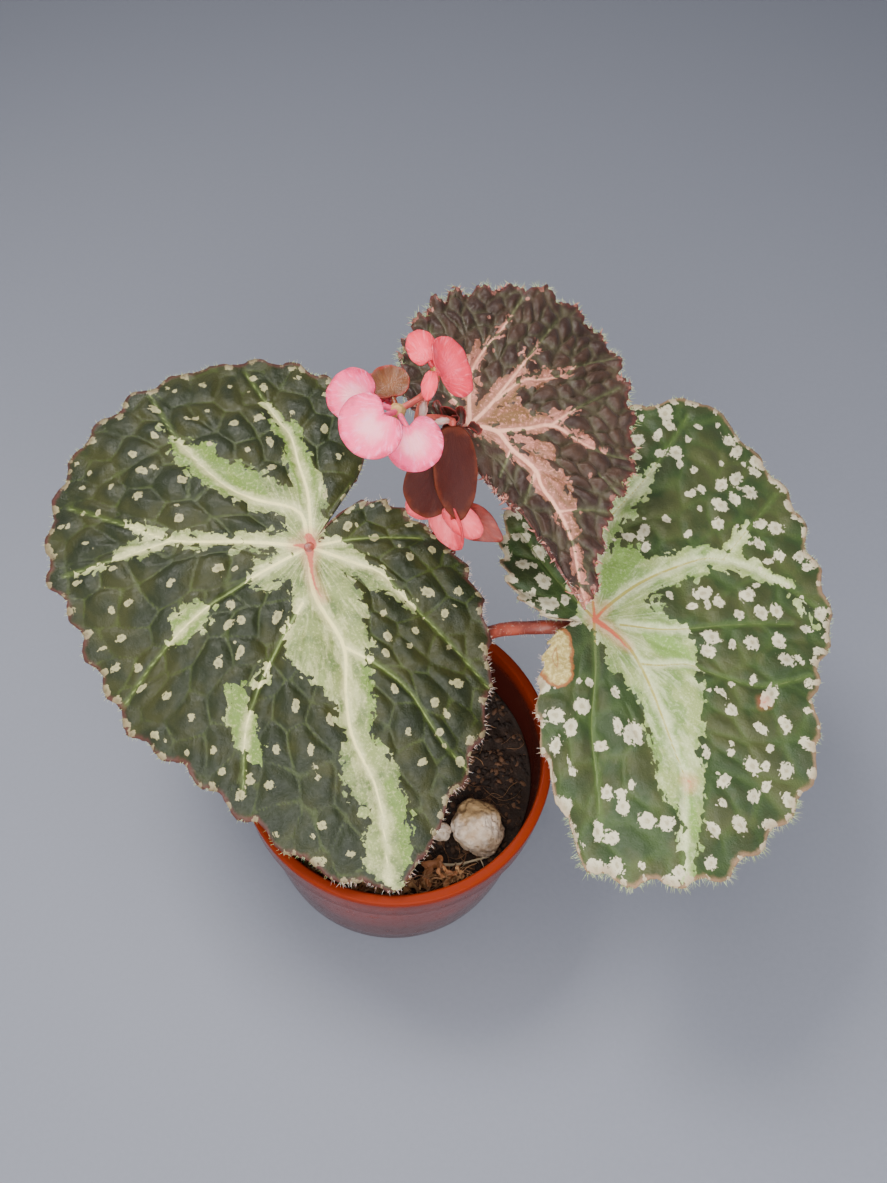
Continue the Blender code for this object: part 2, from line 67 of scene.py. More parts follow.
# The distance in mm that a point starts with, before any marking is found nearer to it.
FAR_AWAY = 99.0
# A blade's edge is measured in this many steps, and each counts for its length and this extra
# in mm, so that a part of the edge close to the stalk gets points too.
EDGE_STEPS = 1440
STEP_EXTRA = 0.15
# The slope of the edge is taken over this angle, in degrees.
PROBE = 0.3

Piece = bpy.types.Object
Socket = bpy.types.NodeSocket
Material = bpy.types.Material
Point = tuple[float, float, float]
Triple = tuple[float, float, float]
Shade = tuple[int, int, int]
Stroke = list[Triple]


class Slot(Enum):
    """The record's material slots."""

    POT = "pot"
    SOIL = "soil"
    STONE = "stone"
    RHIZOME = "rhizome"
    STALK = "stalk"
    LEAF_GREEN = "leaf_green"
    LEAF_BROWN = "leaf_brown"
    TEPAL = "tepal"
    SEED_CASE = "seed_case"


class Layer(Enum):
    """What a blade's points know of its markings, in millimetres but for SPOT and TURN."""

    BAND = "band"
    VEIN = "vein"
    NET = "net"
    SPOT = "spot"
    EDGE = "edge"
    STALK = "stalk"
    TURN = "turn"
    TINT = "tint"
    BLUSH = "blush"
    SCAB = "scab"


# Objects and meshes


def only(obj: Piece) -> None:
    """Selects this object alone and makes it the active one."""
    bpy.ops.object.select_all(action="DESELECT")
    obj.select_set(True)
    bpy.context.view_layer.objects.active = obj


@contextmanager
def editing(obj: Piece) -> Iterator[None]:
    """Edit mode on one object with all of its mesh selected."""
    only(obj)
    bpy.ops.object.mode_set(mode="EDIT")
    bpy.ops.mesh.select_all(action="SELECT")
    yield
    bpy.ops.object.mode_set(mode="OBJECT")


def added(name: str) -> Piece:
    """The primitive that an operator has just added, named and placed in its mesh."""
    obj = bpy.context.object
    obj.name = name
    obj.data.name = name
    only(obj)
    bpy.ops.object.transform_apply(location=True, rotation=True, scale=True)
    return obj


def modify(obj: Piece, kind: str, **settings: object) -> None:
    """Adds a modifier and applies it.

    Args:
        obj: The object to modify.
        kind: The modifier's type.
        settings: Values of the modifier's properties.
    """
    only(obj)
    modifier = obj.modifiers.new(kind.title(), kind)
    for name, value in settings.items():
        setattr(modifier, name, value)
    bpy.ops.object.modifier_apply(modifier=modifier.name)


def joined(name: str, parts: Sequence[Piece]) -> Piece:
    """The parts as one object of this name, with all their materials."""
    only(parts[0])
    for part in parts:
        part.select_set(True)
    if len(parts) > 1:
        bpy.ops.object.join()
    parts[0].name = name
    parts[0].data.name = name
    return parts[0]


def points_of(obj: Piece) -> np.ndarray:
    """The mesh's points as rows of x, y and z."""
    points = np.empty(len(obj.data.vertices) * 3)
    obj.data.vertices.foreach_get("co", points)
    return points.reshape(-1, 3)


def move_points(obj: Piece, points: np.ndarray) -> None:
    """Puts the mesh's points at these rows of x, y and z."""
    obj.data.vertices.foreach_set("co", points.astype(np.float32).ravel())
    obj.data.update()


def store(obj: Piece, name: str, values: np.ndarray) -> None:
    """Keeps a number for each point of the mesh, for its material to read."""
    layer = obj.data.attributes.get(name) or obj.data.attributes.new(name, "FLOAT", "POINT")
    layer.data.foreach_set("value", values.astype(np.float32))


def fill(obj: Piece, name: str, value: float) -> None:
    """Keeps the same number for every point of the mesh."""
    store(obj, name, np.full(len(obj.data.vertices), value))


def dress(obj: Piece, *materials: Material) -> None:
    """Gives the object these materials in place of any that it has, and smooth shading."""
    obj.data.materials.clear()
    for material in materials:
        obj.data.materials.append(material)
    only(obj)
    bpy.ops.object.shade_smooth()


def settle(obj: Piece, slot: Slot, *nodes: str) -> None:
    """Fixes a finished piece to the plant and reports it.

    Args:
        obj: The finished piece.
        slot: The material slot of the piece; not used.
        nodes: The plain nodes that it stands for, if any.
    """
    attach(obj, "root")
    if nodes:
        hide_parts(*nodes)
    obj.data.calc_loop_triangles()
    LOG.info("%s: %d triangles", obj.name, len(obj.data.loop_triangles))


def polar_sheet(name: str, spokes: int, rings: int, facing: Vector,
                place: Callable[[np.ndarray, np.ndarray], np.ndarray],
                layers: Callable[[np.ndarray, np.ndarray], dict[str, np.ndarray]] | None = None,
                ) -> Piece:
    """A grid wrapped round its middle into a sheet with one point at the centre.

    Args:
        name: The object's name.
        spokes: Columns of the grid, which run from the centre to the edge.
        rings: Rows of the grid, which run round the centre.
        facing: The side that the faces point to.
        place: Gives the points for arrays of turns in radians and shares of the way out.
        layers: Gives the values to store for the same arrays.

    Returns:
        The sheet, closed at its seam and its centre.
    """
    bpy.ops.mesh.primitive_grid_add(x_subdivisions=spokes, y_subdivisions=rings, size=2)
    sheet = added(name)
    flat = points_of(sheet)
    turn = np.round((flat[:, 0] + 1) / 2 * spokes) % spokes / spokes * FULL_TURN
    share = np.round((flat[:, 1] + 1) / 2 * rings) / rings
    move_points(sheet, place(turn, share))
    for layer, values in (layers(turn, share) if layers else {}).items():
        store(sheet, layer, values)
    with editing(sheet):
        bpy.ops.mesh.remove_doubles(threshold=MERGE)
        bpy.ops.mesh.normals_make_consistent(inside=False)
    sheet.data.update()
    total = sum((face.normal * face.area for face in sheet.data.polygons), Vector())
    if total.dot(facing) < 0:
        with editing(sheet):
            bpy.ops.mesh.flip_normals()
    return sheet


def copies(name: str, template: Piece, places: Sequence[Matrix],
           tones: Sequence[float]) -> Piece:
    """One object that holds a copy of the template's mesh at each place.

    Args:
        name: The new object's name.
        template: The piece to copy, which is removed.
        places: A matrix for each copy.
        tones: A number from 0 to 1 for each copy, stored for the material as tone.

    Returns:
        The object with the copies.
    """
    points = np.c_[points_of(template), np.ones(len(template.data.vertices))]
    corners = [tuple(face.vertices) for face in template.data.polygons]
    bpy.data.objects.remove(template)
    turned = np.concatenate([points @ np.array(place).T[:, :3] for place in places])
    faces = [tuple(corner + copy * len(points) for corner in face)
             for copy in range(len(places)) for face in corners]
    mesh = bpy.data.meshes.new(name)
    mesh.from_pydata(turned.tolist(), [], faces)
    obj = bpy.data.objects.new(name, mesh)
    bpy.context.scene.collection.objects.link(obj)
    store(obj, "tone", np.repeat(np.array(tones), len(points)))
    return obj


def smooth_path(points: Sequence[Vector], steps: int) -> list[Vector]:
    """Points on a centripetal Catmull-Rom curve.

    Args:
        points: The points that the curve runs through.
        steps: The number of stretches that the curve is cut into.

    Returns:
        The curve's points, one more than the steps.
    """
    ends = [points[0] * 2 - points[1]] + list(points) + [points[-1] * 2 - points[-2]]
    times = [0.0]
    for start, end in zip(ends, ends[1:]):
        times.append(times[-1] + math.sqrt((end - start).length))
    blends = (((0, 1), (1, 2), (2, 3)), ((0, 2), (1, 3)), ((1, 2),))
    path = []
    for step in range(steps + 1):
        t = times[1] + (times[-2] - times[1]) * step / steps
        k = max(i for i in range(1, len(ends) - 2) if times[i] <= t + 1e-9)
        near = ends[k - 1:k + 3]
        clock = times[k - 1:k + 3]
        for spans in blends:
            near = [near[i].lerp(near[i + 1], (t - clock[low]) / (clock[high] - clock[low]))
                    for i, (low, high) in enumerate(spans)]
        path.append(near[0])
    return path


def tube(name: str, path: Sequence[Vector], radii: Sequence[float], sides: int = 4,
         ) -> Piece:
    """A round bar along a path, with closed ends.

    Args:
        name: The object's name.
        path: The middle line's points in metres.
        radii: The radius at each point, in metres.
        sides: The bevel resolution, which gives about four times as many sides.

    Returns:
        The bar as a mesh.
    """
    curve = bpy.data.curves.new(name, "CURVE")
    curve.dimensions = "3D"
    curve.bevel_depth = 1
    curve.bevel_resolution = sides
    curve.use_fill_caps = True
    spline = curve.splines.new("POLY")
    spline.points.add(len(path) - 1)
    for point, place, radius in zip(spline.points, path, radii):
        point.co = (*place, 1)
        point.radius = radius
    bar = bpy.data.objects.new(name, curve)
    bpy.context.scene.collection.objects.link(bar)
    only(bar)
    bpy.ops.object.convert(target="MESH")
    bar = bpy.context.object
    with editing(bar):
        bpy.ops.mesh.remove_doubles(threshold=MERGE)
        bpy.ops.mesh.normals_make_consistent(inside=False)
    return bar


def strand(path: Sequence[Vector], radius: float, taper: float, sides: int,
           tone: float) -> Piece:
    """A fibre along a path, thinner by the taper's share at its end, in its own tone."""
    radii = [radius * (1 - taper * step / STRAND_STEPS) for step in range(STRAND_STEPS + 1)]
    fibre = tube("fibre", smooth_path(path, STRAND_STEPS), radii, sides)
    fill(fibre, "tone", tone)
    return fibre


def aimed(direction: Vector) -> Matrix:
    """The turn that points a piece's Z axis this way."""
    return direction.to_track_quat("Z", "Y").to_matrix().to_4x4()


class Whole:
    """A sub-assembly of one piece, which stands for the node of its name."""

    def make(self) -> None:
        """Builds and settles the piece."""
        settle(self.build(), self.slot, self.node)


def roughen(obj: Piece, octaves: Sequence[tuple[float, float]], seed: float) -> None:
    """Moves each point along its normal by noise.

    Args:
        obj: The object whose mesh is moved.
        octaves: Pairs of the noise's grain and its height, in millimetres.
        seed: Shifts the noise, so that pieces differ.
    """
    shift = Vector((seed, seed * 1.7, -seed))
    for vertex in obj.data.vertices:
        lift = sum(height * noise.noise(vertex.co / (grain * MM) + shift)
                   for grain, height in octaves)
        vertex.co += vertex.normal * lift * MM
    obj.data.update()


# Materials


def linear(shade: Shade) -> tuple[float, float, float, float]:
    """An sRGB colour from 0 to 255 as linear red, green, blue and alpha."""
    parts = [value / 255 for value in shade]
    return (*[((c + 0.055) / 1.055) ** 2.4 if c > 0.04 else c / 12.92 for c in parts], 1.0)


class Graph:
    """A material's nodes, in short calls that return output sockets."""

    def __init__(self, name: str) -> None:
        """Starts a material of this name with its Principled shader."""
        self.material = bpy.data.materials.new(name)
        self.material.use_nodes = True
        self.tree = self.material.node_tree
        self.shader = self.tree.nodes["Principled BSDF"]
        self.place = self.tree.nodes.new("ShaderNodeTexCoord").outputs["Object"]

    def put(self, socket: Socket, value: object) -> None:
        """Links an output to this input, or sets the input to a number or a colour."""
        if isinstance(value, Socket):
            self.tree.links.new(value, socket)
        elif isinstance(value, tuple):
            socket.default_value = linear(value)
        else:
            socket.default_value = value

    def node(self, kind: str, output: str, inputs: dict, **settings: object) -> Socket:
        """Adds a node of this kind with its inputs and settings, and gives one output."""
        node = self.tree.nodes.new("ShaderNode" + kind)
        for name, setting in settings.items():
            setattr(node, name, setting)
        for name, value in inputs.items():
            self.put(node.inputs[name], value)
        return node.outputs[output]

    def attribute(self, name: str) -> Socket:
        """A number that the mesh's points carry."""
        return self.node("Attribute", "Fac", {}, attribute_name=name)

    def fan(self, across: Socket, along: Socket,
            across_scale: float, along_scale: float) -> Socket:
        """A place made of two numbers, each times its scale, for streaks that fan out."""
        return self.node("CombineXYZ", "Vector", {"X": self.times(across, across_scale),
                                                  "Y": self.times(along, along_scale)})

    def noise(self, grain: float, detail: float = 3.0, roughness: float = 0.55,
              place: Socket | None = None) -> Socket:
        """Soft noise whose patches are about a grain, in millimetres, across."""
        return self.node("TexNoise", "Fac", {"Vector": place or self.place,
                                             "Scale": 1 / (grain * MM), "Detail": detail,
                                             "Roughness": roughness})

    def cells(self, grain: float, output: str = "Distance") -> Socket:
        """A pattern of cells about a grain, in millimetres, across."""
        return self.node("TexVoronoi", output, {"Vector": self.place, "Scale": 1 / (grain * MM)})

    def maths(self, operation: str, first: object, second: object = 0.0,
              third: object = 0.0) -> Socket:
        """A sum, product or other operation on numbers."""
        return self.node("Math", "Value", {0: first, 1: second, 2: third}, operation=operation)

    def add(self, first: object, second: object) -> Socket:
        """The sum of two numbers."""
        return self.maths("ADD", first, second)

    def times(self, first: object, second: object) -> Socket:
        """The product of two numbers."""
        return self.maths("MULTIPLY", first, second)

    def sway(self, noise_value: Socket, reach: float) -> Socket:
        """Noise from 0 to 1 spread evenly about zero, over a reach."""
        return self.maths("MULTIPLY_ADD", noise_value, reach, -reach / 2)

    def rise(self, value: object, low: float, high: float, bottom: float = 0.0,
             top: float = 1.0) -> Socket:
        """A smooth step from bottom at low to top at high."""
        return self.node("MapRange", "Result", {"Value": value, "From Min": low, "From Max": high,
                                                "To Min": bottom, "To Max": top},
                         interpolation_type="SMOOTHSTEP")

    def mix(self, amount: object, first: object, second: object) -> Socket:
        """The first colour with an amount of the second."""
        return self.node("MixRGB", "Color", {"Fac": amount, "Color1": first, "Color2": second})

    def bump(self, height: Socket, depth: float, below: Socket | None = None) -> Socket:
        """A normal bent by a height from 0 to 1, whose full depth is in millimetres."""
        inputs = {"Height": height, "Distance": depth * MM}
        return self.node("Bump", "Normal", inputs if below is None else inputs | {"Normal": below})

    def finish(self, **inputs: object) -> Material:
        """Sets the shader's inputs, named with underscores for spaces.

        Args:
            inputs: Sockets, numbers or colours for the shader.

        Returns:
            The finished material.
        """
        for name, value in inputs.items():
            self.put(self.shader.inputs[name.replace("_", " ")], value)
        return self.material


@dataclass(frozen=True)
class LeafFinish:
    """A blade's upper face: a dark quilted ground, pale veins, torn silver bands and spots."""

    name: str
    ground: Shade
    ground_light: Shade
    crown: Shade
    net: Shade
    vein: Shade
    silver: Shade
    silver_deep: Shade
    silver_bright: Shade
    spot: Shade
    spot_core: Shade
    margin: Shade
    blush: Shade = (186, 84, 78)
    scab: Shade = (160, 140, 78)
    scab_light: Shade = (196, 178, 118)
    scab_rim: Shade = (138, 84, 44)
    tint: Shade = (120, 160, 66)
    rib: Shade = (112, 126, 70)
    net_width: float = 0.5
    net_strength: float = 0.6
    rib_width: float = 1.0
    core_size: float = 0.66
    thread_width: float = 0.5
    smoothest: float = 0.4
    flecks: float = 0.25
    core_strength: float = 0.75
    beside: float = 0.75

    def ground_colour(self, g: "Graph", layer: dict[Layer, Socket],
                      patch: Socket, fine: Socket,
                      ) -> Socket:
        """The dark quilted ground with its net of veins and its coloured rim."""
        ground = g.mix(g.rise(g.noise(15, 3), 0.4, 0.62), self.ground, self.ground_light)
        inner = g.rise(g.add(layer[Layer.NET], g.sway(patch, 1.8)), 1.2, 3.6)
        ground = g.mix(g.times(inner, 0.65), ground, self.crown)
        broken = g.rise(g.noise(9, 2), 0.36, 0.58, 0.3, 1.0)
        # The net colour is the veins' own; on the young brown blade it also stands in for a painted
        # sheen.
        lines = g.rise(g.add(layer[Layer.NET], g.sway(fine, 0.5)), self.net_width, 0.05)
        ground = g.mix(g.times(g.times(lines, broken), self.net_strength), ground, self.net)
        glow = g.rise(g.add(layer[Layer.VEIN], g.sway(patch, 1.4)), self.rib_width * 1.8, 0.2)
        ground = g.mix(g.times(glow, 0.6), ground, self.net)
        rim = g.rise(g.add(layer[Layer.EDGE], g.sway(patch, 3.6)), 2.2, 0.2)
        return g.mix(g.times(rim, 0.8), ground, self.margin)

    def silver_colour(self, g: "Graph", layer: dict[Layer, Socket],
                      patch: Socket) -> Socket:
        """The pale bands, streaked outwards and brightest beside the veins."""
        broad = g.noise(8.5, 3)
        streak = g.noise(1 / MM, 4, 0.6, g.fan(layer[Layer.TURN], layer[Layer.STALK], 13, 0.09))
        pale = g.mix(g.rise(broad, 0.4, 0.6), self.silver, self.silver_deep)
        pale = g.mix(g.times(g.rise(streak, 0.46, 0.68), 0.5), pale, self.silver_bright)
        green = g.rise(g.add(layer[Layer.TINT], g.sway(patch, 5.0)), 0.6, -1.2)
        pale = g.mix(g.times(green, 0.85), pale, self.tint)
        beside = g.rise(g.add(layer[Layer.VEIN], g.sway(patch, 4.5)), 2.4, 0.0)
        pale = g.mix(g.times(beside, self.beside), pale, self.silver_bright)
        flecks = g.rise(g.noise(0.9, 4, 0.65), 0.5, 0.66)
        pale = g.mix(g.times(flecks, self.flecks), pale, self.silver_bright)
        return g.mix(g.times(g.rise(flecks, 0.5, 0.0), 0.16), pale, self.silver_deep)

    def material(self) -> Material:
        """Builds the face's material from the layers that the blade carries."""
        g = Graph(self.name)
        layer = {entry: g.attribute(entry.value) for entry in Layer}
        patch = g.noise(4.2, 4, 0.6)
        fine = g.noise(1.1, 4, 0.6)
        flake = g.cells(2.6, "Color")
        torn = g.add(g.sway(patch, 8.0), g.sway(flake, 4.0))
        silver = g.rise(g.add(layer[Layer.BAND], torn), 0.16, -0.16)
        face = g.mix(silver, self.ground_colour(g, layer, patch, fine),
                     self.silver_colour(g, layer, patch))

        wobble = g.add(g.sway(fine, 1.2), g.sway(g.cells(1.1, "Color"), 0.6))
        spot = g.add(layer[Layer.SPOT], wobble)
        brink = g.rise(g.add(layer[Layer.EDGE], g.sway(patch, 3.0)), 4.0, 0.6)
        dot = g.mix(g.times(brink, 0.55), self.spot, self.margin)
        face = g.mix(g.times(g.rise(spot, 1.08, 0.92), 0.92), face, dot)
        core = g.rise(g.add(layer[Layer.SPOT], g.sway(fine, 0.7)), self.core_size, 0.2)
        face = g.mix(g.times(core, self.core_strength), face, self.spot_core)

        thread = g.rise(g.add(layer[Layer.VEIN], g.sway(fine, 0.2)), self.thread_width, 0.05)
        line = g.mix(silver, self.rib, self.vein)
        face = g.mix(g.times(thread, g.rise(patch, 0.3, 0.5, 0.55, 1.0)), face, line)
        halo = g.rise(g.add(layer[Layer.BLUSH], g.sway(patch, 2.0)), 3.4, 0.0)
        face = g.mix(g.times(halo, 0.35), face, self.blush)
        red = g.rise(g.add(layer[Layer.BLUSH], g.sway(fine, 1.0)), 0.3, -0.3)
        face = g.mix(g.times(red, 0.85), face, self.blush)

        scab = g.add(layer[Layer.SCAB], g.sway(patch, 3.5))
        face = g.mix(g.rise(scab, 0.4, -0.2), face, self.scab_rim)
        dry = g.mix(g.rise(fine, 0.42, 0.62), self.scab, self.scab_light)
        ring = g.rise(g.maths("ABSOLUTE", g.add(layer[Layer.SCAB], 5.0)), 0.35, 0.1)
        dry = g.mix(g.times(ring, 0.6), dry, self.scab_rim)
        face = g.mix(g.rise(scab, -0.4, -1.4), face, dry)

        grain = g.bump(g.cells(0.55), 0.06)
        relief = g.bump(fine, 0.25, grain)
        rough = g.rise(fine, 0.3, 0.7, self.smoothest, self.smoothest + 0.2)
        return g.finish(Base_Color=face, Roughness=rough, Normal=relief,
                        Specular_IOR_Level=0.3, Sheen_Weight=0.03)


@dataclass(frozen=True)
class UnderleafFinish:
    """A blade's lower face: matt, with red veins that fade towards the edge."""

    name: str
    ground: Shade
    vein: Shade

    def material(self) -> Material:
        """Builds the face's material."""
        g = Graph(self.name)
        fine = g.noise(1.3, 4)
        ground = g.mix(g.times(g.rise(fine, 0.35, 0.65), 0.35), self.ground, self.vein)
        net = g.rise(g.attribute(Layer.NET.value), 0.8, 0.1)
        ribs = g.rise(g.attribute(Layer.VEIN.value), 1.5, 0.4)
        face = g.mix(g.times(g.maths("MAXIMUM", g.times(net, 0.6), ribs), 0.8), ground, self.vein)
        return g.finish(Base_Color=face, Roughness=g.rise(fine, 0.3, 0.7, 0.5, 0.68),
                        Normal=g.bump(fine, 0.2), Sheen_Weight=0.15)


@dataclass(frozen=True)
class TepalFinish:
    """A petal: pale and sparkling in the middle, deeper pink to the rim, finely streaked."""

    name: str
    pale: Shade
    middle: Shade
    rim: Shade
    streak: Shade
    specular: float = 0.35
    roughness: float = 0.3

    def material(self) -> Material:
        """Builds the petal's material."""
        g = Graph(self.name)
        share, fan, far = (g.attribute(name) for name in ("share", "fan", "far"))
        soft = g.noise(3.0, 3)
        fine = g.noise(0.35, 3, 0.65)
        out = g.add(share, g.sway(soft, 0.5))
        face = g.mix(g.rise(out, 0.15, 0.75), self.pale, self.middle)
        face = g.mix(g.rise(out, 0.78, 1.02), face, self.rim)
        streaks = g.noise(1.0 / MM, 4, 0.6, g.fan(fan, far, 9.0, 0.22))
        face = g.mix(g.times(g.rise(streaks, 0.5, 0.68), 0.45), face, self.streak)
        face = g.mix(g.times(g.rise(fine, 0.55, 0.7), 0.25), face, self.pale)
        ripples = g.bump(streaks, 0.22)
        sparkle = g.bump(fine, 0.09, ripples)
        rough = g.rise(fine, 0.35, 0.65, self.roughness, self.roughness + 0.16)
        return g.finish(Base_Color=face, Roughness=rough, Normal=sparkle,
                        Subsurface_Weight=0.22, Subsurface_Scale=1.5 * MM,
                        Specular_IOR_Level=self.specular)


@dataclass(frozen=True)
class SkinFinish:
    """The skin of a stalk or seed case: satin, mottled, with fine specks."""

    name: str
    skin: Shade
    deep: Shade
    speck: Shade
    roughness: float = 0.4
    specks: float = 0.3
    grain: float = 0.9
    depth: float = 0.12
    specular: float = 0.5

    def material(self) -> Material:
        """Builds the skin's material."""
        g = Graph(self.name)
        broad = g.noise(9, 3)
        fine = g.noise(self.grain, 4, 0.6)
        face = g.mix(g.rise(broad, 0.38, 0.64), self.skin, self.deep)
        face = g.mix(g.times(g.rise(fine, 0.52, 0.7), self.specks), face, self.speck)
        rough = g.rise(fine, 0.3, 0.7, self.roughness - 0.08, self.roughness + 0.1)
        return g.finish(Base_Color=face, Roughness=rough, Normal=g.bump(fine, self.depth),
                        Specular_IOR_Level=self.specular)


@dataclass(frozen=True)
class PlasticFinish:
    """Moulded plastic: glossy, with faint orange peel, fine scuffs and a little dust."""

    name: str
    body: Shade
    worn: Shade
    dust: Shade
    # The inside colour is painted shade: it darkens the inner wall below the rim.
    inside: Shade
    lip: Shade

    def material(self) -> Material:
        """Builds the plastic's material, rubbed at the lip and darkened inside the pot with painted
        shade.
        """
        g = Graph(self.name)
        cloudy = g.noise(22, 4)
        scuff = g.noise(1.8, 5, 0.7)
        dusty = g.noise(6.0, 5, 0.7)
        face = g.mix(g.rise(cloudy, 0.35, 0.65), self.body, self.worn)
        face = g.mix(g.times(g.rise(dusty, 0.56, 0.74), 0.35), face, self.dust)
        # Painted shade: the inner wall turns darker below the rim.
        darkened = g.rise(g.add(g.attribute("inside"), g.sway(dusty, 0.5)), 0.2, 0.75)
        face = g.mix(darkened, face, self.inside)
        rubbed = g.rise(g.add(g.attribute("lip"), g.sway(scuff, 0.3)), 0.3, 0.7)
        face = g.mix(rubbed, face, self.lip)
        rough = g.add(g.rise(scuff, 0.45, 0.72, 0.12, 0.26), g.rise(dusty, 0.5, 0.75, 0.0, 0.16))
        rough = g.add(rough, g.times(rubbed, 0.4))
        peel = g.bump(g.noise(1.1, 2), 0.03)
        return g.finish(Base_Color=face, Roughness=rough, Normal=g.bump(scuff, 0.05, peel),
                        Specular_IOR_Level=0.08, Coat_Weight=0.03, Coat_Roughness=0.12)


@dataclass(frozen=True)
class EarthFinish:
    """Crumbs, bark or fibres, each copy in its own tone, on a grainy ground."""

    name: str
    dark: Shade
    light: Shade
    fleck: Shade
    roughness: float = 0.9
    grain: float = 0.7
    depth: float = 0.35

    def material(self) -> Material:
        """Builds the material, which reads each copy's tone."""
        g = Graph(self.name)
        coarse = g.noise(self.grain * 4, 4)
        fine = g.noise(self.grain, 4, 0.65)
        tone = g.add(g.attribute("tone"), g.sway(coarse, 0.6))
        face = g.mix(g.rise(tone, 0.1, 0.95), self.dark, self.light)
        face = g.mix(g.times(g.rise(fine, 0.6, 0.74), 0.5), face, self.fleck)
        rough = g.rise(fine, 0.3, 0.7, self.roughness, self.roughness - 0.2)
        return g.finish(Base_Color=face, Roughness=rough, Normal=g.bump(fine, self.depth))


@dataclass(frozen=True)
class StoneFinish:
    """Pale pitted stone, stained yellow-brown on its far, upper side."""

    name: str
    pale: Shade
    warm: Shade
    stain: Shade
    stain_from: float
    stain_to: float

    def material(self) -> Material:
        """Builds the stone's material, stained from one depth to another along Y."""
        g = Graph(self.name)
        split = g.tree.nodes.new("ShaderNodeSeparateXYZ")
        g.put(split.inputs["Vector"], g.place)
        cloud = g.noise(5.0, 4)
        fine = g.noise(0.8, 5, 0.65)
        pits = g.rise(g.cells(2.3), 0.26, 0.1)
        face = g.mix(g.rise(cloud, 0.4, 0.62), self.pale, self.warm)
        side = g.add(split.outputs["Y"], g.sway(cloud, 9 * MM))
        face = g.mix(g.rise(side, self.stain_from * MM, self.stain_to * MM), face, self.stain)
        face = g.mix(g.times(pits, 0.6), face, self.stain)
        face = g.mix(g.times(g.rise(fine, 0.56, 0.7), 0.35), face, self.stain)
        hollows = g.bump(g.cells(2.3), 0.5)
        return g.finish(Base_Color=face, Roughness=g.rise(fine, 0.3, 0.7, 0.78, 0.92),
                        Normal=g.bump(fine, 0.3, hollows))


@dataclass(frozen=True)
class HairFinish:
    """Fine hairs, each in its own tone between two colours."""

    name: str
    first: Shade
    second: Shade

    def material(self) -> Material:
        """Builds the hairs' material."""
        g = Graph(self.name)
        fine = g.noise(0.8, 3)
        face = g.mix(g.add(g.attribute("tone"), g.sway(fine, 0.4)), self.first, self.second)
        return g.finish(Base_Color=face, Roughness=g.rise(fine, 0.3, 0.7, 0.45, 0.6),
                        Subsurface_Weight=0.2, Subsurface_Scale=0.5 * MM,
                        Normal=g.bump(fine, 0.02))


GREEN_LEFT = LeafFinish(
    "quilted green blade", ground=(27, 34, 10), ground_light=(46, 48, 16), crown=(20, 27, 9),
    net=(70, 84, 32), vein=(228, 218, 150), silver=(130, 140, 82), silver_deep=(90, 106, 56),
    silver_bright=(212, 206, 152), spot=(158, 152, 110), spot_core=(64, 64, 36),
    margin=(82, 42, 38), blush=(170, 60, 56), tint=(94, 120, 42), net_strength=0.36,
    rib_width=0.8, thread_width=0.42, core_strength=0.42)
GREEN_RIGHT = LeafFinish(
    "spotted green blade", ground=(41, 57, 26), ground_light=(62, 67, 34), crown=(45, 51, 24),
    net=(72, 92, 42), rib=(86, 100, 54), vein=(158, 150, 74), silver=(146, 158, 96),
    silver_deep=(108, 132, 68), silver_bright=(208, 210, 166), spot=(194, 186, 158),
    spot_core=(148, 138, 108), margin=(140, 108, 82), blush=(196, 84, 66), tint=(112, 144, 62),
    net_width=1.6, net_strength=0.3, rib_width=1.0, core_size=0.5, thread_width=0.3)
# On this blade the greenish net and rib colours are partly the veins' own colour and partly a
# painted sheen on the lit sides of the domed cells.
BROWN_TOP = LeafFinish(
    "young brown blade", ground=(46, 28, 21), ground_light=(62, 42, 31), crown=(40, 25, 20),
    net=(76, 73, 52), rib=(92, 92, 62), vein=(226, 166, 140), silver=(140, 88, 70),
    silver_deep=(106, 74, 48), silver_bright=(206, 134, 122), spot=(166, 108, 94),
    spot_core=(112, 60, 50), margin=(80, 36, 32), blush=(150, 92, 66), tint=(112, 82, 48),
    net_width=0.9, net_strength=0.6, rib_width=0.7, smoothest=0.4, flecks=0.7, beside=0.4)
UNDER_GREEN = UnderleafFinish("red-green underside", (118, 96, 72), (142, 56, 50))
UNDER_BROWN = UnderleafFinish("red-brown underside", (92, 52, 42), (128, 54, 46))
PALE_PINK = TepalFinish("pale pink petal", (255, 160, 174), (248, 80, 128), (196, 40, 84),
                        (255, 156, 198))
PINK = TepalFinish("deep pink petal", (246, 76, 98), (222, 52, 74), (184, 40, 58),
                   (250, 128, 140))
ROSE = TepalFinish("rose petal", (242, 94, 106), (218, 70, 82), (178, 42, 54), (248, 124, 134))
# Painted shade: a dark orange-red copy of the rose pink, for the hanging bloom's right petal as if
# in shade.
SHADED_CORAL_PETAL = TepalFinish("coral petal in painted shade", (142, 44, 32), (120, 34, 24), (108, 30, 22), (176, 74, 56))
# Painted shade: a dark olive-brown copy of the pale pink, for the front bloom's back petal as if in
# shade.
SHADED_OLIVE_PETAL = TepalFinish("olive petal in painted shade", (116, 68, 30), (98, 54, 24), (134, 48, 40), (132, 86, 44))
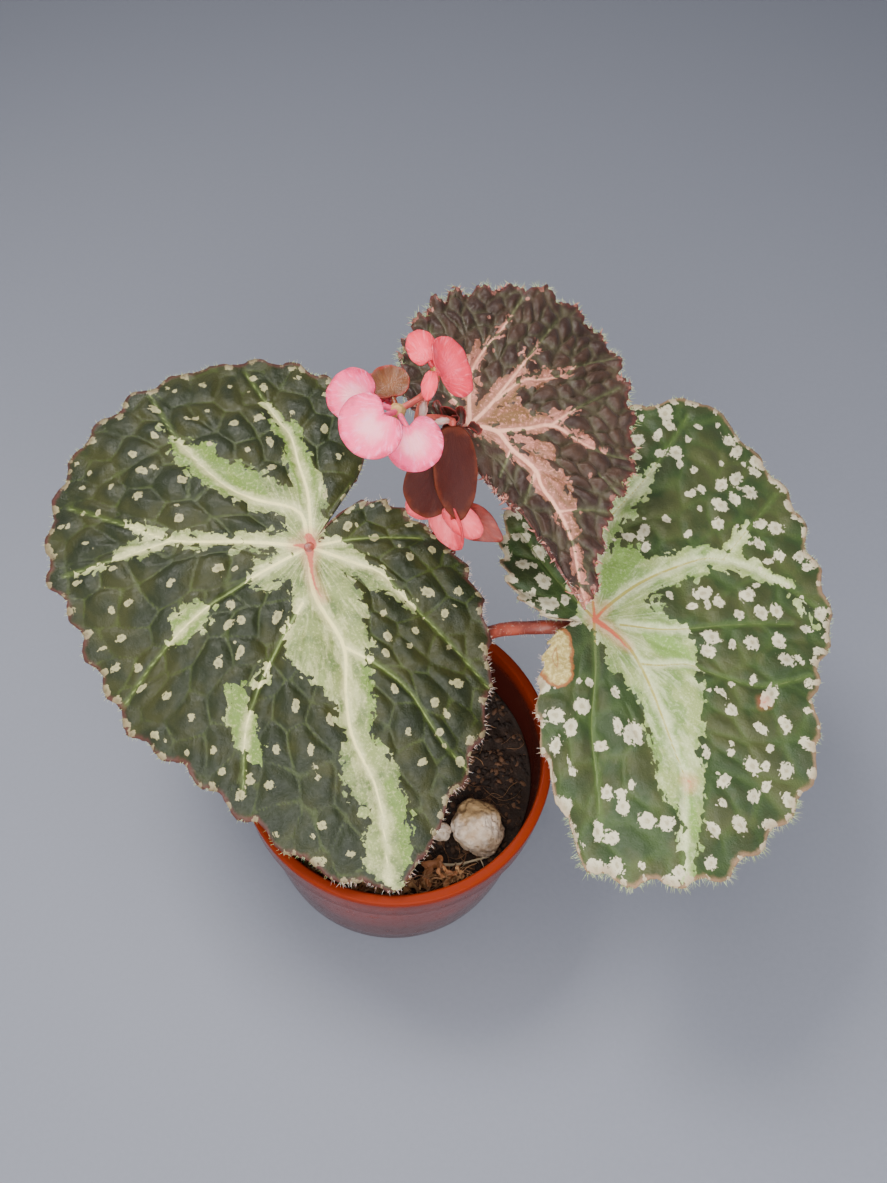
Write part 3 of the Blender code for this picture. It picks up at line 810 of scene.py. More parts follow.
# Partly painted shade: the wings' own brown-red is darkened as if they hung in shade.
WING_BROWN_AND_SHADE = TepalFinish("brown-red wing partly in painted shade", (59, 15, 11), (63, 18, 11), (92, 37, 19),
                         (74, 27, 15), 0.16, 0.42)
FRILL_RED = TepalFinish("dark red scale", (66, 52, 40), (80, 42, 36), (120, 36, 34), (60, 48, 40))
BRACT_WHITE = TepalFinish("white bract", (226, 204, 196), (216, 180, 172), (186, 112, 104),
                          (240, 224, 216))
STALK_RED = SkinFinish("red leaf stalk", (156, 70, 52), (118, 48, 38), (198, 128, 104), 0.38)
FLOWER_RED = SkinFinish("red flower stalk", (186, 78, 66), (160, 58, 50), (220, 140, 124), 0.4)
# Partly painted shade: the spindle's own brown-red is darkened as if in shade.
SEED_BROWN_AND_SHADE = SkinFinish("brown-red seed case partly in painted shade", (50, 14, 9), (40, 11, 8), (66, 26, 16), 0.5,
                        specks=0.15, grain=2.6, depth=0.06, specular=0.15)
HEART = SkinFinish("flower heart", (176, 136, 82), (140, 104, 60), (220, 196, 120), 0.6)
BARK = EarthFinish("rhizome bark", (70, 42, 28), (122, 82, 56), (150, 120, 92), 0.75, 1.2, 0.5)
EARTH = EarthFinish("potting mix", (36, 25, 19), (78, 55, 40), (112, 86, 62))
CRUMBS = EarthFinish("soil crumbs", (38, 26, 19), (112, 78, 54), (140, 108, 80), 0.88, 0.5)
FIBRES = EarthFinish("root fibres", (104, 66, 40), (176, 130, 88), (196, 160, 120), 0.7, 0.8, 0.1)
DRIED = EarthFinish("dried leaf", (168, 108, 66), (206, 156, 106), (220, 184, 140), 0.62, 0.9, 0.3)
ROOT = EarthFinish("pale root", (188, 166, 130), (214, 196, 164), (160, 132, 96), 0.6, 0.7, 0.1)
# Its fourth colour, for the inner wall, is painted shade.
TERRACOTTA = PlasticFinish("terracotta plastic", (100, 26, 9), (84, 21, 9), (124, 62, 40),
                           (66, 24, 18), (112, 32, 5))
STONE_WARM = StoneFinish("stained stone", (236, 216, 196), (214, 184, 152), (168, 136, 94),
                         -22.0, -17.0)
HAIR_GREEN = HairFinish("green hairs", (150, 168, 104), (196, 200, 160))
HAIR_PINK = HairFinish("pink hairs", (206, 160, 150), (222, 206, 190))
TEETH_RED = HairFinish("red teeth", (104, 38, 34), (206, 134, 118))


# Leaves


def closed_curve(knots: Sequence[tuple[float, float]], degrees: np.ndarray) -> np.ndarray:
    """Values on a closed curve that passes through its knots without overshoot.

    Args:
        knots: Pairs of an angle in degrees and a value, in the order of their angles.
        degrees: The angles to read.

    Returns:
        The value at each angle.
    """
    first = knots[0][0]
    angle = first + (degrees - first) % 360
    xs = np.array([x for x, _ in knots] + [first + 360.0])
    ys = np.array([y for _, y in knots] + [knots[0][1]])
    after = np.diff(ys) / np.diff(xs)
    before = np.roll(after, 1)
    same_way = before * after > 0
    total = np.where(same_way, before + after, 1.0)
    slope = np.where(same_way, 2 * before * after / total, 0.0)
    slope = np.append(slope, slope[0])
    k = np.clip(np.searchsorted(xs, angle + 1e-9, side="right") - 1, 0, len(knots) - 1)
    width = xs[k + 1] - xs[k]
    t = (angle - xs[k]) / width
    return ((2 * t ** 3 - 3 * t ** 2 + 1) * ys[k] + (t ** 3 - 2 * t ** 2 + t) * width * slope[k]
            + (3 * t ** 2 - 2 * t ** 3) * ys[k + 1] + (t ** 3 - t ** 2) * width * slope[k + 1])


def stroke_distance(x: np.ndarray, y: np.ndarray, stroke: Stroke) -> np.ndarray:
    """How far points lie outside a tapering stroke, and inside it below zero.

    Args:
        x: The points' places along the blade.
        y: Their places across it.
        stroke: Places of the stroke as degrees, distance from the stalk and half width.

    Returns:
        The distances in millimetres.
    """
    line = [Vector((r * math.cos(math.radians(a)), r * math.sin(math.radians(a)), w))
            for a, r, w in stroke]
    line = smooth_path(line, 4 * (len(line) - 1))
    best = np.full(x.shape, np.inf)
    for start, end in zip(line, line[1:]):
        along, aside = end.x - start.x, end.y - start.y
        t = ((x - start.x) * along + (y - start.y) * aside) / max(along ** 2 + aside ** 2, 1e-9)
        t = np.clip(t, 0, 1)
        away = np.hypot(x - start.x - t * along, y - start.y - t * aside)
        best = np.minimum(best, away - start.z - t * (end.z - start.z))
    return best


@dataclass(frozen=True)
class Fringe:
    """Hairs along a stretch of a blade's edge."""

    start: float
    end: float
    hairs: int
    length: float
    finish: HairFinish
    width: float = 0.09


@dataclass
class Leaf:
    """A blade with its relief, markings and hairs.

    The outline gives the radius at an angle counted from the direction of the tip,
    counter-clockwise seen from above. The notch is where the stalk joins.
    """

    node: str
    slot: Slot
    finish: LeafFinish
    under: UnderleafFinish
    base: Point
    heading: float
    tilt: float
    droop: tuple[float, float]
    notch: float
    outline: list[tuple[float, float]]
    ribs: tuple[float, ...]
    scallop: float
    flute: float
    wave: Triple
    veins: list[Stroke]
    bands: list[Stroke]
    cell: float
    puff: float
    crown: float
    spot_radius: tuple[float, float]
    spots_per_cell: float
    blotch_spacing: float
    blotch_radius: tuple[float, float]
    tooth: float
    teeth: int
    ripple: float
    fringes: list[Fringe]
    scab: Stroke = field(default_factory=list)
    seed: int = 1
    spokes: int = 480
    rings: int = 84
    thickness: float = 0.55
    scallops: int = 36
    stretch: float = 0.72
    steepest: float = 1.5
    crumple: float = 0.0
    crumple_grain: float = 3.0
    tints: list[Stroke] = field(default_factory=list)
    blushes: list[Stroke] = field(default_factory=list)
    spot_spacing: float = 0.0
    full_teeth_from: float = 14
    full_quilting_from: float = 22
    full_flutes_from: float = 30
    groove_depth: float = 0.45
    groove_width: float = 1.1

    def __post_init__(self) -> None:
        """Measures the edge, so that spokes, teeth, blotches and hairs stand evenly along it."""
        self.bearings = self.notch + np.linspace(0, 360, EDGE_STEPS + 1)
        reach = closed_curve(self.outline, self.bearings)
        steps = np.hypot(np.diff(reach), reach[1:] * math.radians(360 / EDGE_STEPS))
        steps += STEP_EXTRA
        lengths = np.concatenate(([0], np.cumsum(steps)))
        self.girth = float(lengths[-1])
        self.turns = lengths * FULL_TURN / self.girth

    def axes(self) -> tuple[Vector, Vector, Vector]:
        """The blade's forward, side and up directions at its stalk."""
        heading = math.radians(self.heading)
        tilt = math.radians(self.tilt)
        level = Vector((math.cos(heading), math.sin(heading), 0))
        forward = level * math.cos(tilt) - Vector((0, 0, 1)) * math.sin(tilt)
        up = level * math.sin(tilt) + Vector((0, 0, 1)) * math.cos(tilt)
        return forward, up.cross(forward), up

    def degrees(self, turn: np.ndarray) -> np.ndarray:
        """Even turns along the edge, which start at the notch, as angles from the tip."""
        return np.interp(turn, self.turns, self.bearings)

    def turn_of(self, degrees: np.ndarray) -> np.ndarray:
        """The even turn along the edge at an angle from the tip."""
        return np.interp(self.notch + (degrees - self.notch) % 360, self.bearings, self.turns)

    def edge_radius(self, degrees: np.ndarray) -> np.ndarray:
        """The distance from the stalk to the toothed edge."""
        turn = self.turn_of(degrees)
        reach = closed_curve(self.outline, degrees)
        ahead = closed_curve(self.outline, degrees + PROBE)
        slope = (ahead - reach) / (reach * math.radians(PROBE))
        grown = np.clip(reach / self.full_teeth_from, 0, 1)
        grown = grown * np.minimum(np.hypot(1, slope), self.steepest)
        jag = (np.abs(np.sin(turn * self.teeth / 2)) - 0.6
               + 0.5 * np.sin(turn * (self.teeth * 0.37) + self.seed)
               + 0.4 * np.sin(turn * round(self.teeth * 1.7) + 2 * self.seed))
        scallops = np.cos(self.scallops * np.radians(degrees - self.notch))
        return reach + self.scallop * scallops + self.tooth * jag * grown

    def distance(self, degrees: np.ndarray, share: np.ndarray) -> np.ndarray:
        """The distance from the stalk at a share of the way out."""
        reach = closed_curve(self.outline, degrees)
        return share * (reach + (self.edge_radius(degrees) - reach) * share ** 4)

    def between_ribs(self, degrees: np.ndarray) -> np.ndarray:
        """0 on a main rib and 1 halfway between two of them."""
        ribs = np.sort(np.array(self.ribs) % 360)
        ribs = np.concatenate(([ribs[-1] - 360], ribs, [ribs[0] + 360]))
        k = np.searchsorted(ribs, degrees % 360, side="right")
        return np.sin(math.pi * (degrees % 360 - ribs[k - 1]) / (ribs[k] - ribs[k - 1]))

    def surface(self, degrees: np.ndarray, share: np.ndarray, lift: np.ndarray) -> np.ndarray:
        """Points of the upper face.

        Args:
            degrees: Angles from the tip.
            share: Shares of the way from the stalk to the edge.
            lift: Heights of the fine relief there, in millimetres.

        Returns:
            The points in metres.
        """
        distance = self.distance(degrees, share)
        angle = np.radians(degrees)
        along = distance * np.cos(angle)
        aside = distance * np.sin(angle)
        height = -(self.droop[0] * along ** 2 + self.droop[1] * aside ** 2) / 1000
        size = np.minimum(1.0, distance / self.full_flutes_from) ** 2
        height += (self.flute * self.between_ribs(degrees) * size
                   * np.sin(math.pi * np.minimum(share, 0.9)))
        wave_height, waves, phase = self.wave
        height += wave_height * share ** 3 * size * np.sin(waves * angle + phase)
        height += self.ripple * share ** 9 * np.sin(31 * angle + 2 * np.sin(5 * angle + self.seed))
        height += lift
        forward, sideways, up = (np.array(axis) for axis in self.axes())
        return (np.array(self.base) + np.outer(along, forward) + np.outer(aside, sideways)
                + np.outer(height, up)) * MM

    def seeds(self, spacing: float) -> np.ndarray:
        """Points of a jittered lattice of this spacing, inside the outline or near it."""
        draw = random.Random(self.seed)
        reach = max(radius for _, radius in self.outline)
        steps = int(reach / spacing) + 2
        seeds = []
        for row in range(-steps, steps + 1):
            for column in range(-steps, steps + 1):
                x = (row + draw.uniform(-0.4, 0.4)) * spacing * 0.92
                y = (column + 0.5 * (row % 2) + draw.uniform(-0.4, 0.4)) * spacing
                edge = closed_curve(self.outline, np.array([math.degrees(math.atan2(y, x))]))[0]
                if math.hypot(x, y) < edge + spacing:
                    seeds.append((x, y))
        return np.array(seeds)

    @staticmethod
    def nearest_stroke(x: np.ndarray, y: np.ndarray, strokes: list[Stroke]) -> np.ndarray:
        """The distances of points to the nearest of some strokes, or a far value for none."""
        return np.min([stroke_distance(x, y, stroke) for stroke in strokes]
                      or [np.full(x.shape, FAR_AWAY)], axis=0)

    def markings(self, degrees: np.ndarray, share: np.ndarray) -> dict[Layer, np.ndarray]:
        """What each point knows of the veins, bands, spots and edge around it."""
        distance = self.distance(degrees, share)
        x = distance * np.cos(np.radians(degrees))
        y = distance * np.sin(np.radians(degrees))
        seeds = self.seeds(self.cell)
        outward = seeds / np.maximum(np.hypot(*seeds.T), 1e-6)[:, None]
        bend = self.cell * 0.16
        dx = (x + bend * np.sin(y / self.cell * 1.7 + 1.1 * np.sin(x / self.cell)))[:, None]
        dy = (y + bend * np.sin(x / self.cell * 1.9 + 1.3 * np.sin(y / self.cell)))[:, None]
        dx = dx - seeds[:, 0]
        dy = dy - seeds[:, 1]
        along = (dx * outward[:, 0] + dy * outward[:, 1]) * self.stretch
        across = dy * outward[:, 0] - dx * outward[:, 1]
        nearest = np.partition(np.hypot(along, across), 1, axis=1)[:, :2]
        vein = self.nearest_stroke(x, y, self.veins)
        found = {
            Layer.NET: (nearest[:, 1] - nearest[:, 0]) / 2,
            Layer.VEIN: np.maximum(vein, 0),
            Layer.BAND: self.nearest_stroke(x, y, self.bands),
            Layer.EDGE: self.edge_radius(degrees) - distance,
            Layer.STALK: distance,
            Layer.TURN: np.radians(degrees),
            Layer.TINT: self.nearest_stroke(x, y, self.tints),
            Layer.BLUSH: self.nearest_stroke(x, y, self.blushes),
            Layer.SCAB: self.nearest_stroke(x, y, [self.scab] if self.scab else [])}
        found[Layer.SPOT] = self.spot_field(x, y, self.seeds(self.spot_spacing or self.cell))
        return found

    def spot_field(self, x: np.ndarray, y: np.ndarray, seeds: np.ndarray) -> np.ndarray:
        """The distance to the nearest pale spot as a share of its radius.

        Args:
            x: The points' places along the blade.
            y: Their places across it.
            seeds: The middles of the cells, most of which carry a spot.

        Returns:
            The shares, below 1 inside a spot.
        """
        draw = random.Random(self.seed + 100)
        inside = self.nearest_stroke(seeds[:, 0], seeds[:, 1], self.bands)
        spots = []
        for (sx, sy), clear in zip(seeds, inside):
            count = int(self.spots_per_cell + draw.random())
            for number in range(count):
                smaller = 1.0 if number == 0 else draw.uniform(0.3, 0.75)
                radius = draw.uniform(*self.spot_radius) * smaller
                away = draw.uniform(0, 1.6 if number == 0 else 5.0)
                turn = draw.uniform(0, FULL_TURN)
                if clear > radius:
                    spots.append((sx + away * math.cos(turn), sy + away * math.sin(turn), radius,
                                  draw.uniform(0.7, 1.2)))
        run = 0.0
        while run < self.girth:
            angle = self.degrees(np.array([run * FULL_TURN / self.girth]))
            edge = self.edge_radius(angle)[0]
            radius = draw.uniform(*self.blotch_radius)
            bearing = math.radians(angle[0])
            middle = edge - radius * draw.uniform(0.2, 0.8)
            spots.append((middle * math.cos(bearing), middle * math.sin(bearing), radius,
                          draw.uniform(0.7, 1.2)))
            run += self.blotch_spacing * draw.uniform(0.8, 2.0)
        best = np.full(x.shape, FAR_AWAY)
        for sx, sy, radius, squeeze in spots:
            far = math.hypot(sx, sy) or 1.0
            along = ((x - sx) * sx + (y - sy) * sy) / far * squeeze
            across = ((y - sy) * sx - (x - sx) * sy) / far / squeeze
            best = np.minimum(best, np.hypot(along, across) / radius)
        return best

    def relief(self, found: dict[Layer, np.ndarray], share: np.ndarray) -> np.ndarray:
        """Heights of the quilting: domed cells, sunk veins, flatter silver and edge."""
        inner = np.minimum(found[Layer.NET], 0.8 * found[Layer.VEIN])
        dome = 1 - (1 - np.clip(inner / self.crown, 0, 1)) ** 2
        size = np.clip(found[Layer.STALK] / self.full_quilting_from, 0, 1) ** 2
        smoothness = 0.4 + 0.6 * np.clip((found[Layer.BAND] + 2) / 5, 0, 1)
        lift = self.puff * (dome - 0.6) * size * smoothness * (1 - 0.75 * share ** 12)
        groove = self.groove_depth * np.exp(-(found[Layer.VEIN] / self.groove_width) ** 2) * size
        return lift - groove + self.crumpling(found) * size * smoothness

    def crumpling(self, found: dict[Layer, np.ndarray]) -> np.ndarray:
        """Fine irregular dents over the whole blade."""
        turn, away = found[Layer.TURN], found[Layer.STALK]
        places = np.c_[away * np.cos(turn), away * np.sin(turn)] / self.crumple_grain
        return self.crumple * np.array([noise.noise(Vector((x, y, self.seed)))
                                        + 0.5 * noise.noise(Vector((2.3 * x, 2.3 * y, 9.0)))
                                        for x, y in places])

    def build(self) -> Piece:
        """Builds the blade with its relief and thickness."""
        found: dict[Layer, np.ndarray] = {}

        def place(turn: np.ndarray, share: np.ndarray) -> np.ndarray:
            degrees = self.degrees(turn)
            found.update(self.markings(degrees, share))
            lift = self.relief(found, share)
            return self.surface(degrees, share, lift)

        def layers(_turn: np.ndarray, _share: np.ndarray) -> dict[str, np.ndarray]:
            return {entry.value: values for entry, values in found.items()}

        blade = polar_sheet(self.node + "_blade", self.spokes, self.rings, self.axes()[2],
                            place, layers)
        dress(blade, self.finish.material(), self.under.material())
        modify(blade, "SOLIDIFY", thickness=self.thickness * MM, offset=-1, material_offset=1,
               material_offset_rim=0)
        return blade

    def build_hairs(self, fringe: Fringe, number: int) -> Piece:
        """Builds the hairs of one stretch of the edge.

        Args:
            fringe: Where the hairs stand and how long they are.
            number: Tells the stretches apart.

        Returns:
            The hairs as one object.
        """
        draw = random.Random(self.seed * 10 + number)
        first, last = self.turn_of(np.array([fringe.start, fringe.end]))
        degrees = self.degrees(np.array([draw.uniform(first, last) for _ in range(fringe.hairs)]))
        whole, none = np.full(len(degrees), 0.995), np.zeros(len(degrees))
        edge = self.surface(degrees, whole, none)
        ahead = self.surface(degrees + PROBE, whole, none)
        up = np.array(self.axes()[2])
        places, tones = [], []
        for root, after in zip(edge, ahead):
            outward = Vector(np.cross(after - root, up)).normalized()
            lean = Vector([draw.uniform(-0.55, 0.55) for _ in range(3)])
            direction = (outward + lean + Vector(up) * draw.uniform(-0.2, 0.5)).normalized()
            length = fringe.length * draw.uniform(0.45, 1.15) * MM
            start = Vector(root) - Vector(up) * self.thickness / 2 * MM
            spin = draw.uniform(0, FULL_TURN)
            places.append(hair_place(start, direction, spin, fringe.width * MM, length))
            tones.append(draw.random())
        hairs = copies(f"{self.node}_hairs_{number}", bent_hair(), places, tones)
        dress(hairs, fringe.finish.material())
        return hairs

    def make(self) -> None:
        """Builds and settles the blade and its hairs."""
        settle(self.build(), self.slot, self.node)
        for number, fringe in enumerate(self.fringes):
            settle(self.build_hairs(fringe, number), self.slot)


def hair_place(start: Vector, direction: Vector, spin: float, width: float,
               length: float) -> Matrix:
    """Stands a hair at a place, pointing this way, with its width and length in metres."""
    scale = Matrix.Diagonal((width, width, length, 1))
    return Matrix.Translation(start) @ aimed(direction) @ Matrix.Rotation(spin, 4, "Z") @ scale


def bent_hair() -> Piece:
    """A three-sided hair of unit length that tapers to its tip and bends a little."""
    bpy.ops.mesh.primitive_cone_add(vertices=3, radius1=1, radius2=0.15, depth=1,
                                    location=(0, 0, 0.5))
    hair = added("hair")
    for cut in (0.35, 0.7):
        with editing(hair):
            bpy.ops.mesh.bisect(plane_co=(0, 0, cut), plane_no=(0, 0, 1))
    points = points_of(hair)
    points[:, 0] += 2.5 * points[:, 2] ** 2
    move_points(hair, points)
    return hair


LEAF_LEFT = Leaf(
    node="leaf_left", slot=Slot.LEAF_GREEN, finish=GREEN_LEFT, under=UNDER_GREEN,
    base=(-29, 44, 130), heading=-73, tilt=12, droop=(2.8, 2.6), notch=131,
    outline=[(131, 5.5), (136, 35), (147, 46), (157, 60), (169, 69), (182, 76), (203, 82),
             (232, 86), (259, 82), (272, 75), (290, 74.5), (303, 77), (314, 76), (334, 84),
             (350, 98), (361, 105), (367, 100.5), (371, 93.5), (376, 88.7), (384, 82.3),
             (388, 79.6), (406, 66), (427, 52), (452, 37), (470, 28), (482, 21)],
    ribs=(-147, -109, -74, -33, 1, 48, 92, 175), scallop=1.3, flute=2.4, wave=(1.8, 7, 0.4),
    veins=[
        [(0, 0, 0.5), (-8, 15, 0.4), (5, 33, 0.3), (0, 47, 0.2), (-1, 59, 0.2), (2, 76, 0.1),
         (1, 92, 0), (0, 103, 0)],
        [(-110, 1, 0.4), (-110, 22, 0.2), (-109, 43, 0.1), (-113, 55, 0), (-118, 80, 0)],
        [(-109, 43, 0.1), (-104, 55, 0), (-100, 77, 0)],
        [(180, 2, 0.4), (180, 12, 0.3), (-149, 23, 0.2), (-143, 34, 0), (-147, 58, 0),
         (-152, 80, 0)],
        [(158, 4, 0.3), (168, 19, 0.2), (173, 30, 0.1), (175, 41, 0), (179, 48, 0), (184, 72, 0)],
        [(-75, 2, 0.3), (-75, 20, 0.1), (-73, 38, 0), (-68, 58, 0), (-64, 74, 0)],
        [(-20, 18, 0.2), (-30, 31, 0.1), (-33, 44, 0), (-33, 57, 0), (-29, 76, 0)],
        [(5, 33, 0.2), (17, 44, 0.1), (21, 55, 0), (21, 72, 0), (23, 86, 0)],
        [(57, 1, 0.3), (57, 16, 0.2), (57, 23, 0), (49, 33, 0), (42, 57, 0), (39, 76, 0)],
        [(92, 1, 0.3), (88, 18, 0), (84, 36, 0)]],
    bands=[
        [(0, 0, 3), (4, 15, 10), (2, 25, 10.5), (-4, 30, 12.5), (3, 35, 8), (2, 45, 7),
         (1, 55, 5.2), (0, 63, 5.2), (1, 72, 8.4), (2, 77, 6.7), (3, 86, 6.1), (1, 94, 7.6),
         (1, 103, 3)],
        [(-60, 8, 5), (-70, 18, 4)],
        [(-110, 4, 4), (-110, 22, 2.4), (-109, 43, 2.2), (-106, 52, 3.4), (-104, 58, 2.4),
         (-101, 64, 0.8), (-100, 77, 0.3)],
        [(-109, 43, 2), (-112, 52, 2.4), (-114, 58, 0.6)],
        [(180, 4, 4), (180, 12, 5.5), (-165, 18, 5.5), (-151, 27, 6), (-146, 40, 6),
         (-146, 50, 5), (-145, 57, 1.8), (-147, 66, 0.8)],
        [(158, 4, 4), (168, 19, 5), (173, 30, 4.2), (175, 41, 3.6), (179, 48, 2.8), (182, 55, 0.8)],
        [(70, 2, 4), (57, 10, 5), (53, 20, 3.4), (47, 32, 1.6), (44, 40, 0.6)],
        [(-74, 35, 1.5), (-72, 42, 5), (-70, 49, 1.8)],
        [(-41, 49, 2.2), (-34, 57, 3.8), (-28, 66, 1.8)],
        [(-33, 38, 0.8), (-33, 45, 1.4)]],
    tints=[[(-154, 24, 3), (-148, 38, 8), (-147, 56, 6)], [(166, 16, 3), (175, 41, 5), (182, 55, 3)],
           [(-74, 34, 3), (-70, 50, 5)], [(-41, 48, 4), (-28, 68, 4)], [(12, 38, 2), (6, 62, 2.5)],
           [(5, 76, 2), (6, 88, 4), (5, 103, 4)]],
    blushes=[[(0, 0, 1.6), (-8, 6, 0.6), (-6, 12, 0.3), (0, 17, 0)],
             [(120, 1, 1.6), (170, 3.5, 1.2)], [(-110, 1, 1.0), (-112, 4.6, 0.4)]],
    cell=11.0, puff=2.0, crown=4.0, spot_radius=(0.9, 1.6), spots_per_cell=1.35, crumple=0.5,
    crumple_grain=5,
    blotch_spacing=6.5, blotch_radius=(0.6, 1.7), tooth=0.35, teeth=116, ripple=0.7, seed=3,
    fringes=[Fringe(-10, 120, 330, 1.9, HAIR_PINK), Fringe(131, 350, 420, 1.5, HAIR_GREEN)])

LEAF_RIGHT = Leaf(
    node="leaf_right", slot=Slot.LEAF_GREEN, finish=GREEN_RIGHT, under=UNDER_GREEN,
    base=(60, 24, 125), heading=-68, tilt=10, droop=(1.6, 1.4), notch=-104,
    outline=[(-104, 6), (-93, 12), (-81, 17), (-66, 24), (-52, 36), (-38, 51), (-30, 62),
             (-21, 76), (-6, 81), (5, 85), (20, 84), (32, 84), (44, 79), (53, 74), (62, 76),
             (73, 82), (88, 81), (105, 88), (120, 93), (130, 97), (140, 88), (154, 75),
             (166, 62), (178, 53), (198, 43), (215, 34), (230, 27), (244, 17)],
    ribs=(-60, -22, 5, 50, 95, 142, 198), scallop=1.3, flute=2.2, wave=(2.0, 8, 1.1),
    veins=[
        [(33, 0, 0.5), (33, 11, 0.4), (23, 20, 0.3), (14, 33, 0.2), (10, 45, 0.1), (8, 55, 0),
         (3, 64, 0), (-2, 78, 0)],
        [(162, 1, 0.3), (162, 6, 0.3), (153, 27, 0.2), (148, 36, 0.1), (139, 51, 0),
         (136, 61, 0), (133, 88, 0)],
        [(119, 1, 0.4), (119, 4, 0.4), (110, 19, 0.3), (104, 33, 0.2), (100, 45, 0.1),
         (95, 52, 0), (87, 61, 0), (76, 79, 0)],
        [(97, 50, 0), (102, 64, 0), (106, 84, 0)],
        [(26, 20, 0.2), (34, 24, 0.1), (45, 32, 0), (47, 41, 0), (50, 56, 0), (58, 72, 0)],
        [(-40, 1, 0.3), (-22, 17, 0.1), (-24, 34, 0), (-21, 50, 0), (-20, 66, 0)],
        [(60, 8, 0.2), (64, 24, 0), (70, 44, 0), (72, 66, 0)],
        [(200, 1, 0.3), (200, 18, 0.1), (196, 38, 0)]],
    bands=[
        [(32, 0, 3), (32, 9, 7), (28, 17, 9.5), (33, 24, 10), (20, 36, 10.5), (10, 45, 7),
         (7, 54, 7.5), (5, 62, 4.2), (4, 67, 3.5), (-1, 80, 2)],
        [(162, 3, 5), (160, 10, 7), (153, 27, 6), (148, 36, 5.2), (139, 51, 3.4), (136, 61, 1.2)],
        [(119, 3, 5), (110, 19, 6), (104, 33, 5), (100, 45, 4.5), (95, 52, 4.5), (87, 61, 2.5),
         (82, 70, 0.8)],
        [(95, 52, 3), (100, 58, 3.5), (103, 65, 1.2)],
        [(140, 10, 6), (135, 20, 6), (128, 26, 3)],
        [(70, 8, 7), (62, 16, 8), (48, 26, 8), (41, 33, 3.5)],
        [(72, 76, 0.6), (76, 72, 1.3), (80, 68, 0.8)]],
    tints=[[(140, 14, 5), (128, 30, 4)], [(58, 18, 4), (46, 30, 4)], [(10, 48, 2), (4, 70, 2)]],
    blushes=[[(33, 0, 1.0), (33, 7, 0.6), (28, 13, 0.1)],
             [(162, 1, 0.5), (160, 6, 0)], [(119, 1, 0.5), (118, 6, 0)],
             [(8, 55, 0), (9, 56.5, 0.2), (8, 58, 0)], [(45, 58, 0.1), (46, 59, 0.1)]],
    cell=12.0, puff=1.6, crown=5.0, spot_radius=(1.1, 2.7), spots_per_cell=1.5, spot_spacing=8.8,
    crumple=0.5, crumple_grain=6,
    blotch_spacing=6.5, blotch_radius=(0.7, 2.3), tooth=0.3, teeth=96, ripple=0.6, seed=8,
    scab=[(-80, 14, 4.2), (-66, 18, 5.8), (-55, 21, 4.4)],
    fringes=[Fringe(-30, 30, 300, 2.6, HAIR_GREEN), Fringe(40, 250, 420, 1.6, HAIR_GREEN),
             Fringe(-100, -35, 90, 1.4, HAIR_PINK)])

